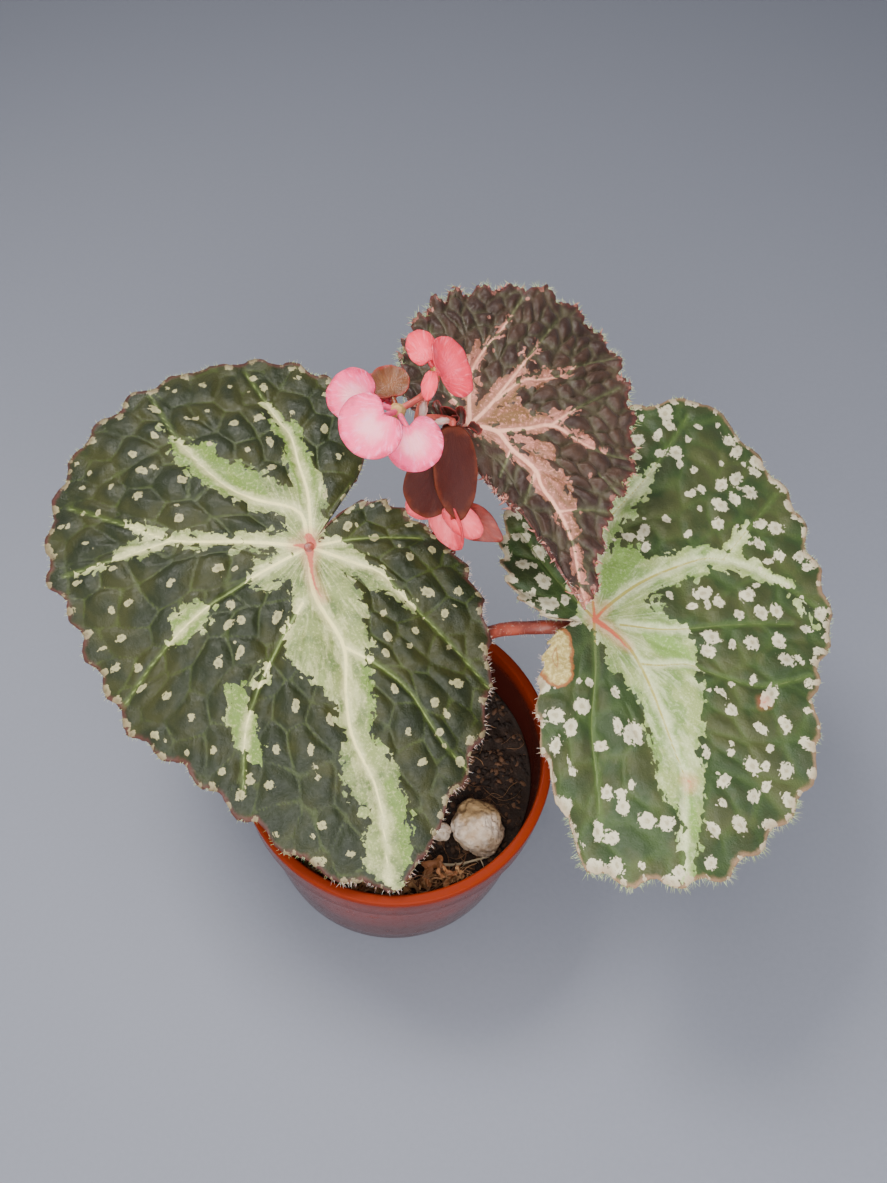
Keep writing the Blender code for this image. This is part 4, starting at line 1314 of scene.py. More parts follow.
LEAF_TOP = Leaf(
    node="leaf_top", slot=Slot.LEAF_BROWN, finish=BROWN_TOP, under=UNDER_BROWN,
    base=(18, 58, 176), heading=-51, tilt=14, droop=(3.0, 3.0), notch=-124,
    outline=[(-124, 4.5), (-112, 6.5), (-90, 8), (-60, 9.5), (-30, 13), (-15, 20), (-8, 28),
             (-4, 40), (-1, 61), (8, 55), (14, 52), (29, 48), (44, 51), (58, 53), (77, 55),
             (90, 60), (104, 61), (124, 56), (137, 51), (150, 45), (165, 38), (180, 31),
             (194, 26), (208, 21), (222, 13)],
    ribs=(-40, 8, 55, 92, 132, 175), scallop=1.5, flute=1.9, wave=(1.6, 9, 2.0),
    veins=[
        [(46, 0, 0.5), (46, 8, 0.4), (27, 13.6, 0.3), (22, 22.7, 0.3), (16, 26.6, 0.2),
         (13, 35, 0.2), (9, 43, 0.1), (3, 51, 0.1), (-1, 61, 0)],
        [(46, 8, 0.4), (57, 17, 0.2), (61, 25, 0.2), (56, 31, 0.1), (51, 38, 0), (50, 49, 0)],
        [(61, 25, 0.1), (69, 33, 0), (74, 44, 0), (76, 52, 0)],
        [(108, 1, 0.3), (102, 8, 0.2), (105, 17, 0.1), (106, 25, 0.1), (107, 34, 0), (108, 52, 0)],
        [(102, 12, 0.2), (99, 24, 0.1), (93, 29, 0), (89, 37, 0), (90, 43, 0), (87, 58, 0)],
        [(141, 1, 0.3), (143, 9, 0.2), (139, 19, 0.1), (131, 28, 0), (125, 37, 0), (122, 52, 0)],
        [(175, 1, 0.3), (170, 16, 0.1), (162, 34, 0)],
        [(27, 13.6, 0.1), (-6, 17, 0)], [(22, 22.7, 0.1), (0, 27, 0)],
        [(40, 40, 0), (33, 50, 0)], [(13, 35, 0), (24, 42, 0), (28, 48, 0)]],
    bands=[
        [(46, 1, 2.2), (40, 8, 3.4), (28, 13, 2.2), (25, 18, 3.2), (24, 23, 4.2), (20, 27, 4.4),
         (18, 33, 3.8), (16, 37, 3.2), (12, 42, 2.0), (4, 49, 1.5), (0, 56, 1.5), (-1, 61, 1.2)],
        [(42, 15, 2.6), (40, 21, 2.6), (36, 25, 1.6)],
        [(84, 4, 3), (78, 11, 3.6), (64, 15, 4.4), (62, 22, 3.2), (64, 27, 1.6)],
        [(60, 25, 1.6), (56, 31, 1.3), (52, 38, 1.0), (51, 41, 0)],
        [(64, 26, 1.2), (69, 33, 0.9), (70, 36, 0)],
        [(108, 3, 2.4), (102, 8, 3.2), (105, 17, 2.4), (106, 25, 1.6), (107, 32, 1.0), (108, 38, 0)],
        [(96, 14, 1.6), (97, 22, 2.6), (92, 29, 1.6), (89, 36, 0.8), (90, 42, 0.2)],
        [(141, 3, 2.8), (143, 9, 2.4), (139, 19, 1.7), (131, 28, 1.2), (126, 36, 0.6),
         (124, 42, 0)],
        [(175, 3, 1.6), (172, 12, 0.4)]],
    tints=[[(102, 4, 3.4), (98, 20, 3)], [(72, 6, 3), (66, 20, 3.4)], [(150, 5, 3), (152, 13, 2)],
           [(60, 12, 2), (60, 20, 2)]],
    cell=6.2, puff=2.6, crown=2.2, spot_radius=(0.4, 0.7), spots_per_cell=0.06, spot_spacing=7.6,
    crumple=0.7, crumple_grain=2.8,
    blotch_spacing=7.0, blotch_radius=(0.5, 1.2), tooth=1.0, teeth=86, steepest=3.5, ripple=0.9,
    seed=5, spokes=520, stretch=0.6,
    fringes=[Fringe(20, 235, 620, 2.3, HAIR_GREEN), Fringe(-124, 20, 260, 1.5, HAIR_PINK),
             Fringe(-110, 12, 60, 2.2, TEETH_RED, 0.55), Fringe(12, 200, 70, 1.5, TEETH_RED, 0.4)])


# Stalks, rhizome and flowers


def mm(point: Point) -> Vector:
    """A point in millimetres as a vector in metres."""
    return Vector(point) * MM


@dataclass
class Petiole:
    """A leaf stalk from its socket in the rhizome to its blade."""

    node: str
    route: list[Point]
    leaf: Leaf
    radius: float = 2.3
    foot_radius: float = 2.7
    knob_radius: float = 2.3
    knob_height: float = 0.3
    steps: int = 70
    hairs: int = 240
    hair_width: float = 0.06
    hair_lengths: tuple[float, float] = (0.7, 1.7)

    def path(self) -> list[Vector]:
        """The stalk's middle line, which meets the blade square to it."""
        up = self.leaf.axes()[2]
        seat = mm(self.leaf.base) - up * 0.35 * MM
        return smooth_path([mm(point) for point in self.route] + [seat - up * 7.6 * MM, seat],
                           self.steps)

    def build(self) -> Piece:
        """Builds the stalk, a little flared at its foot and its top and faintly ribbed."""
        path = self.path()
        radii = []
        for step in range(len(path)):
            share = step / self.steps
            foot = (self.foot_radius - self.radius) * max(0.0, 1 - 3 * share)
            flare = 0.5 * math.exp(-((1 - share) / 0.035) ** 2)
            knots = 0.06 * math.sin(step * 0.9) + 0.05 * math.sin(step * 0.37)
            radii.append((self.radius + foot + flare + knots) * MM)
        turn = self.leaf.axes()[2].to_track_quat("Z", "Y").to_euler()
        bpy.ops.mesh.primitive_ico_sphere_add(subdivisions=3, location=path[-1], rotation=turn,
                                              scale=(*[self.knob_radius * MM] * 2,
                                                     self.knob_height * MM))
        knob = added("knob")
        stalk = joined(self.node + "_stalk", [tube("stalk", path, radii, 5), knob])
        modify(stalk, "SUBSURF", levels=1, render_levels=1)
        roughen(stalk, ((2.5, 0.12), (0.9, 0.05)), self.radius)
        dress(stalk, STALK_RED.material())
        return stalk

    def build_hairs(self) -> Piece:
        """Builds the short pale hairs that stand off the stalk."""
        draw = random.Random(self.node)
        path = self.path()
        places, tones = [], []
        for _ in range(self.hairs):
            step = draw.randrange(8, len(path) - 3)
            along = (path[step + 1] - path[step - 1]).normalized()
            aside = along.orthogonal().normalized()
            aside.rotate(Matrix.Rotation(draw.uniform(0, FULL_TURN), 3, along))
            start = path[step].lerp(path[step + 1], draw.random()) + aside * self.radius * 0.95 * MM
            direction = (aside + along * draw.uniform(-0.3, 0.5)).normalized()
            length = draw.uniform(*self.hair_lengths) * MM
            places.append(hair_place(start, direction, 0, self.hair_width * MM, length))
            tones.append(draw.random())
        hairs = copies(self.node + "_hairs", bent_hair(), places, tones)
        dress(hairs, HAIR_PINK.material())
        return hairs

    def make(self) -> None:
        """Builds and settles the stalk and its hairs."""
        settle(self.build(), Slot.STALK, self.node)
        settle(self.build_hairs(), Slot.STALK)


@dataclass(frozen=True)
class Tepal:
    """One petal: its middle, the way it faces, its half sizes, its cup and a fold along it."""

    centre: Point
    facing: Point
    half_width: float
    half_length: float
    cup: float
    fold: float = 0.0
    finish: TepalFinish | SkinFinish = PINK
    notch: float = 0.22
    tip: float = 0.0


@dataclass
class Bloom:
    """A round heart with petals, each on a short claw."""

    node: str
    hub: Point
    hub_radius: float
    tepals: list[Tepal]
    heart: SkinFinish = HEART
    slot: Slot = Slot.TEPAL
    notch_width: float = 0.42
    claw: float = 0.85
    claw_steps: int = 10
    claw_sink: float = 0.3
    thickness: float = 0.42
    crease: float = 0.1
    spokes: int = 120
    rings: int = 26

    @staticmethod
    def directions(tepal: Tepal, root: Vector) -> tuple[Vector, Vector, Vector]:
        """A petal's middle, the way it faces and the way it points, away from its root."""
        middle = mm(tepal.centre)
        normal = Vector(tepal.facing).normalized()
        outward = middle - root
        return middle, normal, (outward - normal * outward.dot(normal)).normalized()

    def build_tepal(self, number: int, tepal: Tepal, root: Vector) -> Piece:
        """Builds one petal as a thin cupped blade, notched towards its root.

        Args:
            number: Tells the petals of the bloom apart.
            tepal: The petal's place and shape.
            root: The point that the petal grows from.

        Returns:
            The petal, dressed.
        """
        middle, normal, outward = self.directions(tepal, root)
        axes = [np.array(axis) for axis in (outward, normal.cross(outward), normal)]
        phase = number * 1.9 + len(self.node)

        def reach(turn: np.ndarray, share: np.ndarray) -> np.ndarray:
            cut = tepal.notch * np.exp(-((turn - math.pi) / self.notch_width) ** 2)
            tip = tepal.tip * np.exp(-((np.minimum(turn, FULL_TURN - turn)) / 0.4) ** 2)
            return share * (1 - cut + tip)

        def place(turn: np.ndarray, share: np.ndarray) -> np.ndarray:
            out = reach(turn, share)
            lift = tepal.cup * out ** 2 + 0.35 * share ** 2 * np.sin(3 * turn)
            lift += 0.16 * share ** 5 * np.sin(9 * turn + phase) - 0.12 * share ** 10
            lift += tepal.fold * np.abs(np.sin(turn)) ** 1.3 * out
            crease = np.sin(14 * turn + 3 * np.sin(2 * turn + phase)) * share * (1 - share)
            flat = [out * tepal.half_length * np.cos(turn), out * tepal.half_width * np.sin(turn)]
            return (np.array(middle) + MM * (np.outer(flat[0], axes[0])
                    + np.outer(flat[1], axes[1]) + np.outer(lift + self.crease * crease, axes[2])))

        def layers(turn: np.ndarray, share: np.ndarray) -> dict[str, np.ndarray]:
            out = reach(turn, share)
            along = out * tepal.half_length * np.cos(turn) + tepal.half_length
            across = out * tepal.half_width * np.sin(turn)
            return {"share": share, "fan": np.arctan2(across, along),
                    "far": np.hypot(along, across)}

        petal = polar_sheet(f"{self.node}_petal_{number}", self.spokes, self.rings, normal,
                            place, layers)
        dress(petal, tepal.finish.material())
        modify(petal, "SOLIDIFY", thickness=self.thickness * MM, offset=-1)
        return petal

    def build_claw(self, number: int, tepal: Tepal, root: Vector) -> Piece:
        """Builds the narrow neck between a petal and the heart."""
        middle, normal, outward = self.directions(tepal, root)
        end = middle - outward * tepal.half_length * 0.5 * MM - normal * self.claw_sink * MM
        steps = self.claw_steps
        path = smooth_path([root, (root + end) / 2 - normal * self.claw_sink * MM, end], steps)
        radii = [self.claw * MM * (1 - 0.5 * (step / steps) ** 3) for step in range(steps + 1)]
        claw = tube(f"{self.node}_claw_{number}", path, radii, 3)
        for name in ("share", "fan", "far"):
            fill(claw, name, 0.9)
        dress(claw, tepal.finish.material())
        return claw

    def build_heart(self) -> Piece:
        """Builds the knobbly heart that the petals grow from."""
        bpy.ops.mesh.primitive_ico_sphere_add(subdivisions=4, radius=self.hub_radius * MM,
                                              location=mm(self.hub))
        heart = added(self.node + "_heart")
        roughen(heart, ((1.3, 0.5), (0.6, 0.2)), self.hub_radius)
        dress(heart, self.heart.material())
        return heart

    def build(self, name: str) -> Piece:
        """Builds the heart and each petal with its claw as one piece of this name."""
        root = mm(self.hub)
        parts = [self.build_heart()]
        for number, tepal in enumerate(self.tepals):
            parts += [self.build_tepal(number, tepal, root), self.build_claw(number, tepal, root)]
        return joined(name, parts)

    def make(self) -> None:
        """Builds and settles the bloom."""
        settle(self.build(self.node + "_flower"), self.slot, self.node)


FLOWER_FORK = (7, 58, 196)
LOWER_FORK = (3.5, 58, 178)
SEED_TOP = (12.4, 46.2, 187.5)
SEED_FOOT = (10.8, 39.2, 169.5)

BLOOM_FRONT = Bloom("bloom_front", (-2.5, 45.8, 197), 2.2, [
    Tepal((-8.9, 36.0, 203), (-0.10, -0.55, 0.83), 8.6, 8.0, 1.2, 0, PALE_PINK, 0.42),
    Tepal((-14.1, 48.1, 200), (-0.35, -0.40, 0.85), 6.9, 6.9, 1.5, 0, PALE_PINK, 0.2),
    Tepal((2.2, 35.6, 197), (0.20, -0.60, 0.78), 7.6, 7.4, 1.2, 0, PALE_PINK, 0.38),
    # This petal's olive-brown is painted shade.
    Tepal((-4.8, 53.6, 198.5), (-0.05, -0.25, 0.97), 5.4, 5.0, 1.0, 0, SHADED_OLIVE_PETAL),
    Tepal((-7.5, 55.5, 193.5), (-0.10, -0.05, 0.99), 6.0, 5.6, 0.8)])
BLOOM_UPPER = Bloom("bloom_upper", (7.3, 54.6, 203), 1.6, [
    Tepal((3.6, 58.6, 207.0), (-0.30, -0.45, 0.84), 4.0, 5.0, 1.0),
    Tepal((10.8, 53.0, 206.5), (0.64, -0.36, 0.68), 8.5, 5.8, 1.4),
    Tepal((5.8, 50.0, 203), (-0.25, -0.62, 0.74), 2.1, 4.2, 0.4)])
BLOOM_LOWER = Bloom("bloom_lower", (10.8, 38.4, 166.4), 1.9, [
    Tepal((12.8, 34.6, 162.8), (-0.45, -0.76, 0.46), 4.6, 9.2, 1.2, 1.6, ROSE),
    # This petal's dark orange-red is painted shade.
    Tepal((19.8, 34.2, 162.6), (0.35, -0.75, 0.55), 5.0, 8.2, 1.4, -1.4, SHADED_CORAL_PETAL, 0.1, 0.26),
    Tepal((16.4, 33.4, 165.0), (0.10, -0.66, 0.74), 4.0, 7.2, 1.0, 0, ROSE),
    Tepal((6.2, 41.4, 160.4), (-0.35, -0.60, 0.70), 4.6, 6.0, 1.0, 0, ROSE)])


@dataclass
class SeedCase(Bloom):
    """The seed case above the hanging bloom: a spindle with three rounded wings."""

    foot: Point = SEED_FOOT
    spindle_radius: float = 1.2
    crease: float = 0.0

    def build_heart(self) -> Piece:
        """Builds the spindle between the wings."""
        top, foot = mm(self.hub), mm(self.foot)
        bpy.ops.mesh.primitive_uv_sphere_add(
            segments=40, ring_count=28, radius=1, location=(top + foot) / 2,
            rotation=(top - foot).to_track_quat("Z", "Y").to_euler(),
            scale=(self.spindle_radius * MM, self.spindle_radius * MM, (top - foot).length / 2))
        spindle = added(self.node + "_spindle")
        roughen(spindle, ((3.0, 0.3), (0.9, 0.08)), self.spindle_radius)
        dress(spindle, self.heart.material())
        return spindle


# The case's very dark brown-red is partly its own colour and partly painted shade.
SEED_CASE = SeedCase("ovary_lower", SEED_TOP, 3.2, [
    Tepal((7.4, 40.0, 171.6), (-0.25, -0.82, 0.50), 7.6, 9.8, 0.8, 0, WING_BROWN_AND_SHADE, 0.08),
    Tepal((13.8, 40.5, 178.8), (0.20, -0.84, 0.47), 6.2, 14.2, 0.6, 0, WING_BROWN_AND_SHADE, 0.08, 0.1),
    Tepal((14.4, 48.6, 177.0), (0.90, 0.30, 0.10), 3.0, 8.6, 0.5, 0, WING_BROWN_AND_SHADE, 0.08)],
    heart=SEED_BROWN_AND_SHADE, slot=Slot.SEED_CASE, thickness=0.9)


@dataclass
class Scales(Bloom):
    """A tuft of small curled scales or bracts on a stalk."""

    claw: float = 0.45
    thickness: float = 0.3
    spokes: int = 72
    rings: int = 14

    def make(self) -> None:
        """Builds and settles the tuft."""
        settle(self.build(self.node), self.slot)


SCALES = (
    Scales("leaf_top_scales", (15.5, 56.8, 175.6), 1.1, [
        Tepal((13.4, 55.0, 179.6), (-0.6, -0.5, 0.6), 1.5, 3.4, 1.4, 1.6, FRILL_RED),
        Tepal((17.0, 54.4, 176.0), (0.3, -0.8, 0.5), 1.7, 3.2, -1.2, 1.6, FRILL_RED),
        Tepal((15.0, 57.6, 180.4), (-0.2, -0.7, 0.6), 1.6, 3.2, 1.6, -1.4, FRILL_RED),
        Tepal((14.4, 54.6, 174.6), (-0.5, -0.7, 0.5), 1.4, 2.8, 1.6, -1.2, FRILL_RED),
        Tepal((11.2, 57.2, 181.6), (0.3, -0.6, 0.7), 1.5, 3.0, 1.6, 1.6, FRILL_RED),
        Tepal((8.8, 57.6, 183.4), (-0.4, -0.6, 0.7), 1.5, 2.8, -1.4, 1.4, FRILL_RED),
        Tepal((18.6, 55.2, 178.0), (0.5, -0.3, 0.8), 1.2, 2.4, 1.2, 1.0, FRILL_RED)],
        heart=FLOWER_RED, slot=Slot.STALK),
    Scales("flower_stalk_bract", (4.8, 52.4, 197.3), 1.0, [
        Tepal((4.6, 48.8, 193.6), (-0.2, -0.5, 0.8), 1.0, 3.2, 0.6, 0.8, BRACT_WHITE, 0.22, 0.5)],
        heart=FLOWER_RED, slot=Slot.STALK),
    Scales("seed_case_bract", (12.2, 48.0, 190.2), 1.0, [
        Tepal((9.8, 47.6, 190.8), (-0.3, -0.4, 0.9), 0.8, 2.4, 0.6, 0.6, BRACT_WHITE, 0.22, 0.5)],
        heart=FLOWER_RED, slot=Slot.STALK))


@dataclass
class FlowerStalk(Whole):
    """The peduncle with a pedicel for each bloom, grown together."""

    node: str = "flower_stalk"
    route: tuple[Point, ...] = ((-5, 20.5, 56.5), (-5, 20.5, 66), (3, 42, 88), (9.5, 59, 120),
                                (6, 59.5, 150), (3.5, 58, 178), FLOWER_FORK)
    pedicels: tuple[tuple[Point, ...], ...] = (
        (FLOWER_FORK, (4.2, 50.9, 197.5), BLOOM_FRONT.hub),
        (FLOWER_FORK, (7.2, 57.0, 199.5), BLOOM_UPPER.hub),
        (LOWER_FORK, (7.5, 53.0, 185.5), (12.3, 48.0, 190.3), SEED_TOP))
    radius: float = 1.5
    pedicel_radius: float = 0.95
    steps: int = 90
    pedicel_steps: int = 24
    grain: float = 0.28
    slot: Slot = Slot.STALK

    def build(self) -> Piece:
        """Builds the stalk and its arms and melts them into one skin."""
        route = smooth_path([mm(point) for point in self.route], self.steps)
        parts = [tube("peduncle", route, [self.radius * MM] * (self.steps + 1))]
        for number, arm in enumerate(self.pedicels):
            path = smooth_path([mm(point) for point in arm], self.pedicel_steps)
            radii = [self.pedicel_radius * (1 + 0.25 * math.exp(-step / 3)) * MM
                     for step in range(self.pedicel_steps + 1)]
            parts.append(tube(f"pedicel_{number}", path, radii))
        bpy.ops.mesh.primitive_uv_sphere_add(segments=20, ring_count=14, location=mm(FLOWER_FORK),
                                             radius=self.radius * 1.15 * MM)
        parts.append(added("fork"))
        stalk = joined(self.node + "_stem", parts)
        modify(stalk, "REMESH", mode="VOXEL", voxel_size=self.grain * MM)
        modify(stalk, "SMOOTH", factor=0.6, iterations=6)
        dress(stalk, FLOWER_RED.material())
        return stalk


@dataclass
class Rhizome(Whole):
    """The knobbly creeping stem, half sunk in the soil, with scars."""

    node: str = "rhizome"
    route: tuple[Point, ...] = ((-25, 33, 50), (-15, 27, 53), (-2, 19, 54), (9, 12, 55),
                                (17, 6, 55))
    radius: float = 6.2
    knob: float = 0.7
    steps: int = 60
    slot: Slot = Slot.RHIZOME

    def build(self) -> Piece:
        """Builds the stem with a ring of scars every few millimetres."""
        radii = []
        for step in range(self.steps + 1):
            share = step / self.steps
            rounding = math.sqrt(max(0.02, 1 - abs(2 * share - 1) ** 6))
            ring = self.knob * (math.cos(FULL_TURN * share * 5 - 1.3) * 0.7
                                + 0.3 * math.cos(FULL_TURN * share * 17))
            radii.append((self.radius + ring) * rounding * MM)
        path = smooth_path([mm(point) for point in self.route], self.steps)
        stem = tube(self.node + "_stem", path, radii, 6)
        modify(stem, "REMESH", mode="VOXEL", voxel_size=0.5 * MM)
        roughen(stem, ((6, 0.9), (2, 0.45), (0.9, 0.2)), 2.0)
        fill(stem, "tone", 0.4)
        dress(stem, BARK.material())
        return stem


# Pot, soil and what lies on it


@dataclass
class Pot(Whole):
    """A round nursery pot with a plain rim band, turned from its outer base to its inner floor."""

    node: str = "pot"
    sides: int = 180
    lip_width: float = 3.4
    band_height: float = 15
    band_step: float = 1.4
    wall: float = 1.8
    floor: float = 2.0
    rounding: float = 0.9
    base_radius: float = 46
    drains: int = 6
    drain_radius: float = 4
    drain_ring: float = 28
    slot: Slot = Slot.POT

    def __post_init__(self) -> None:
        """Takes the rim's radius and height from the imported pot."""
        low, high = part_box(self.node)
        self.rim = (high.x - low.x) / 2 / MM
        self.height = high.z / MM

    def inner_radius(self, height: float) -> float:
        """The radius of the inner wall at a height below the rim band."""
        low, high = self.floor + self.rounding, self.height - self.band_height
        low_radius = self.base_radius - self.wall
        high_radius = self.rim - self.lip_width - 0.4
        return low_radius + (high_radius - low_radius) * (height - low) / (high - low)

    def arc(self, radius: float, height: float, start: float, steps: int = 4,
            turn: float = 90) -> list[tuple[float, float]]:
        """A quarter round of the profile about a centre, from a start angle."""
        angles = [math.radians(start + turn * step / steps) for step in range(steps + 1)]
        return [(radius + self.rounding * math.cos(angle), height + self.rounding * math.sin(angle))
                for angle in angles]

    def profile(self) -> list[tuple[float, float]]:
        """Radius and height from the base's outer edge over the lip to the inner floor."""
        rim, top, base, r = self.rim, self.height, self.base_radius, self.rounding
        inner = rim - self.lip_width
        under = rim - self.band_step
        below = top - self.band_height
        points = [(base - r * 0.3, r * 0.3), (base + 0.25, r), (base + 1.4, 12)]
        points += [(under - 1.6, below - self.band_step - 14),
                   (under, below - self.band_step), (under + 0.35, below - self.band_step + 0.12),
                   (rim - 0.45, below - 0.15), (rim - 0.3, below + 0.3), (rim - 0.1, top - 5)]
        points += self.arc(rim - r, top - r, 0)
        points += self.arc(inner + r, top - r, 90)
        points += [(inner - 0.1, top - 5), (inner - 0.4, below), (inner - 0.75, below - 0.8),
                   (self.inner_radius(30) - 0.2, 30), (base - self.wall, self.floor + r),
                   (base - self.wall - r * 0.3, self.floor + r * 0.3),
                   (base - self.wall - r, self.floor)]
        return points

    def build(self) -> Piece:
        """Extrudes the base disc round the whole profile and cuts the drains."""
        radius = self.base_radius - self.rounding
        bpy.ops.mesh.primitive_circle_add(vertices=self.sides, radius=radius * MM,
                                          fill_type="NGON")
        pot = added(self.node + "_shell")
        height = 0.0
        with editing(pot):
            for new_radius, new_height in self.profile():
                lift = (0, 0, (new_height - height) * MM)
                bpy.ops.mesh.extrude_region_move(TRANSFORM_OT_translate={"value": lift})
                grow = new_radius / radius
                bpy.ops.transform.resize(value=(grow, grow, 1),
                                         center_override=(0, 0, new_height * MM))
                radius, height = new_radius, new_height
            bpy.ops.mesh.select_all(action="SELECT")
            bpy.ops.mesh.normals_make_consistent(inside=False)
        for number in range(self.drains):
            turn = FULL_TURN * number / self.drains
            place = mm((self.drain_ring * math.cos(turn), self.drain_ring * math.sin(turn), 0))
            bpy.ops.mesh.primitive_cylinder_add(vertices=40, radius=self.drain_radius * MM,
                                                depth=4 * self.floor * MM, location=place)
            cutter = added("drain")
            modify(pot, "BOOLEAN", operation="DIFFERENCE", object=cutter, solver="EXACT")
            bpy.data.objects.remove(cutter)
        points = points_of(pot) / MM
        # The inside layer marks the inner wall below the rim, which the material darkens as painted
        # shade.
        below = self.height - 2.0 - points[:, 2]
        within = np.hypot(points[:, 0], points[:, 1]) < self.rim - self.lip_width + 0.3
        store(pot, "inside", np.where(within, np.clip(below / 5, 0, 1), 0.0))
        on_lip = np.where(within, 1 - (below - 1) / 4, 1 - (below + 1) / 1.4)
        store(pot, "lip", np.clip(on_lip, 0, 1))
        dress(pot, TERRACOTTA.material())
        only(pot)
        bpy.ops.object.shade_smooth_by_angle(angle=math.radians(35))
        return pot


@dataclass
class Soil:
    """The filling of the pot, lumpy on top, with crumbs, bark and fibres."""

    pot: Pot
    node: str = "soil"
    top: float = 52
    # Each kind of lump's depth and spacing in mm, and a level of its own in the noise.
    lumps: tuple[Triple, ...] = ((1.6, 11, 0.03), (0.7, 3.4, 0.5), (0.4, 1.3, 0.9))
    wall_gap: float = 0.35
    floor_gap: float = 0.3
    corner: float = 0.9
    spokes: int = 220
    rings: int = 90
    crumbs: int = 2600
    crumb_size: float = 1.7
    crumb_seed: int = 21
    fibres: int = 130
    fibre_radii: tuple[float, float] = (0.07, 0.16)
    fibre_seed: int = 34

    def height(self, x: float, y: float) -> float:
        """The height of the soil's top at a place, all in metres."""
        rough = sum(depth * noise.noise(Vector((x, y, level)) / (spacing * MM))
                    for depth, spacing, level in self.lumps)
        return (self.top + rough) * MM

    def build(self) -> Piece:
        """Builds the filling as one closed sheet, from its floor over its side to its top."""
        edge = self.pot.inner_radius(self.top) - self.wall_gap
        bottom = self.pot.floor + self.floor_gap
        low_edge = self.pot.base_radius - self.pot.wall - 0.5
        shares = (0.0, 0.05, 0.07, 0.12, 1.0)
        radii = (0.0, low_edge - self.corner, low_edge, edge, 0.0)
        heights = (bottom, bottom, bottom + self.corner, self.top, self.top)

        def place(turn: np.ndarray, share: np.ndarray) -> np.ndarray:
            radius = np.interp(share, shares, radii)
            height = np.interp(share, shares, heights) * MM
            x = radius * np.cos(turn) * MM
            y = radius * np.sin(turn) * MM
            above = share > shares[3] + 0.5 / self.rings
            height[above] = [self.height(px, py) for px, py in zip(x[above], y[above])]
            return np.c_[x, y, height]

        filling = polar_sheet(self.node + "_filling", self.spokes, self.rings, Vector((0, 0, 1)),
                              place)
        with editing(filling):
            bpy.ops.mesh.normals_make_consistent(inside=False)
        fill(filling, "tone", 0.35)
        dress(filling, EARTH.material())
        return filling

    def scatter(self, draw: random.Random, widest: float) -> Vector:
        """A random place on the soil's top, no further out than the widest radius."""
        radius = widest * math.sqrt(draw.random())
        turn = draw.uniform(0, FULL_TURN)
        x, y = radius * math.cos(turn) * MM, radius * math.sin(turn) * MM
        return Vector((x, y, self.height(x, y)))

    def build_crumbs(self) -> Piece:
        """Builds the crumbs and bark chips that cover the top."""
        draw = random.Random(self.crumb_seed)
        bpy.ops.mesh.primitive_ico_sphere_add(subdivisions=1, radius=1)
        template = added("crumb")
        roughen(template, ((400, 160),), 3.0)
        places, tones = [], []
        for _ in range(self.crumbs):
            spot = self.scatter(draw, self.pot.inner_radius(self.top) - 1.6)
            size = draw.uniform(0.3, 1.0) ** 1.6 * self.crumb_size
            flat = [size * draw.uniform(0.6, 1.3), size * draw.uniform(0.5, 1.0),
                    size * draw.uniform(0.3, 0.7)]
            turn = Matrix.Rotation(draw.uniform(0, FULL_TURN), 4, "Z")
            tip = Matrix.Rotation(draw.uniform(-0.7, 0.7), 4, "X")
            places.append(Matrix.Translation(spot) @ turn @ tip
                          @ Matrix.Diagonal((*[side * MM for side in flat], 1)))
            tones.append(draw.random() ** 1.8)
        crumbs = copies(self.node + "_crumbs", template, places, tones)
        dress(crumbs, CRUMBS.material())
        return crumbs

    def build_fibres(self) -> Piece:
        """Builds fine root fibres that arch over the crumbs and lean on the wall."""
        draw = random.Random(self.fibre_seed)
        fibres = []
        wall = self.pot.inner_radius(self.top) - 1.0
        for _ in range(self.fibres):
            start = self.scatter(draw, wall - 3)
            heading = draw.uniform(0, FULL_TURN)
            path = [start]
            for _step in range(4):
                heading += draw.uniform(-0.9, 0.9)
                end = path[-1] + Vector((math.cos(heading), math.sin(heading), 0)) * draw.uniform(
                    1.5, 4.5) * MM
                if end.xy.length > wall * MM:
                    end.xy *= wall * MM / end.xy.length
                end.z = self.height(end.x, end.y) + draw.uniform(0.2, 1.8) * MM
                path.append(end)
            fibres.append(strand(path, draw.uniform(*self.fibre_radii) * MM, 0.7, 0, draw.random()))
        tangle = joined(self.node + "_fibres", fibres)
        dress(tangle, FIBRES.material())
        return tangle

    def make(self) -> None:
        """Builds and settles the filling and what covers it."""
        settle(self.build(), Slot.SOIL, self.node)
        settle(self.build_crumbs(), Slot.SOIL)
        settle(self.build_fibres(), Slot.SOIL)


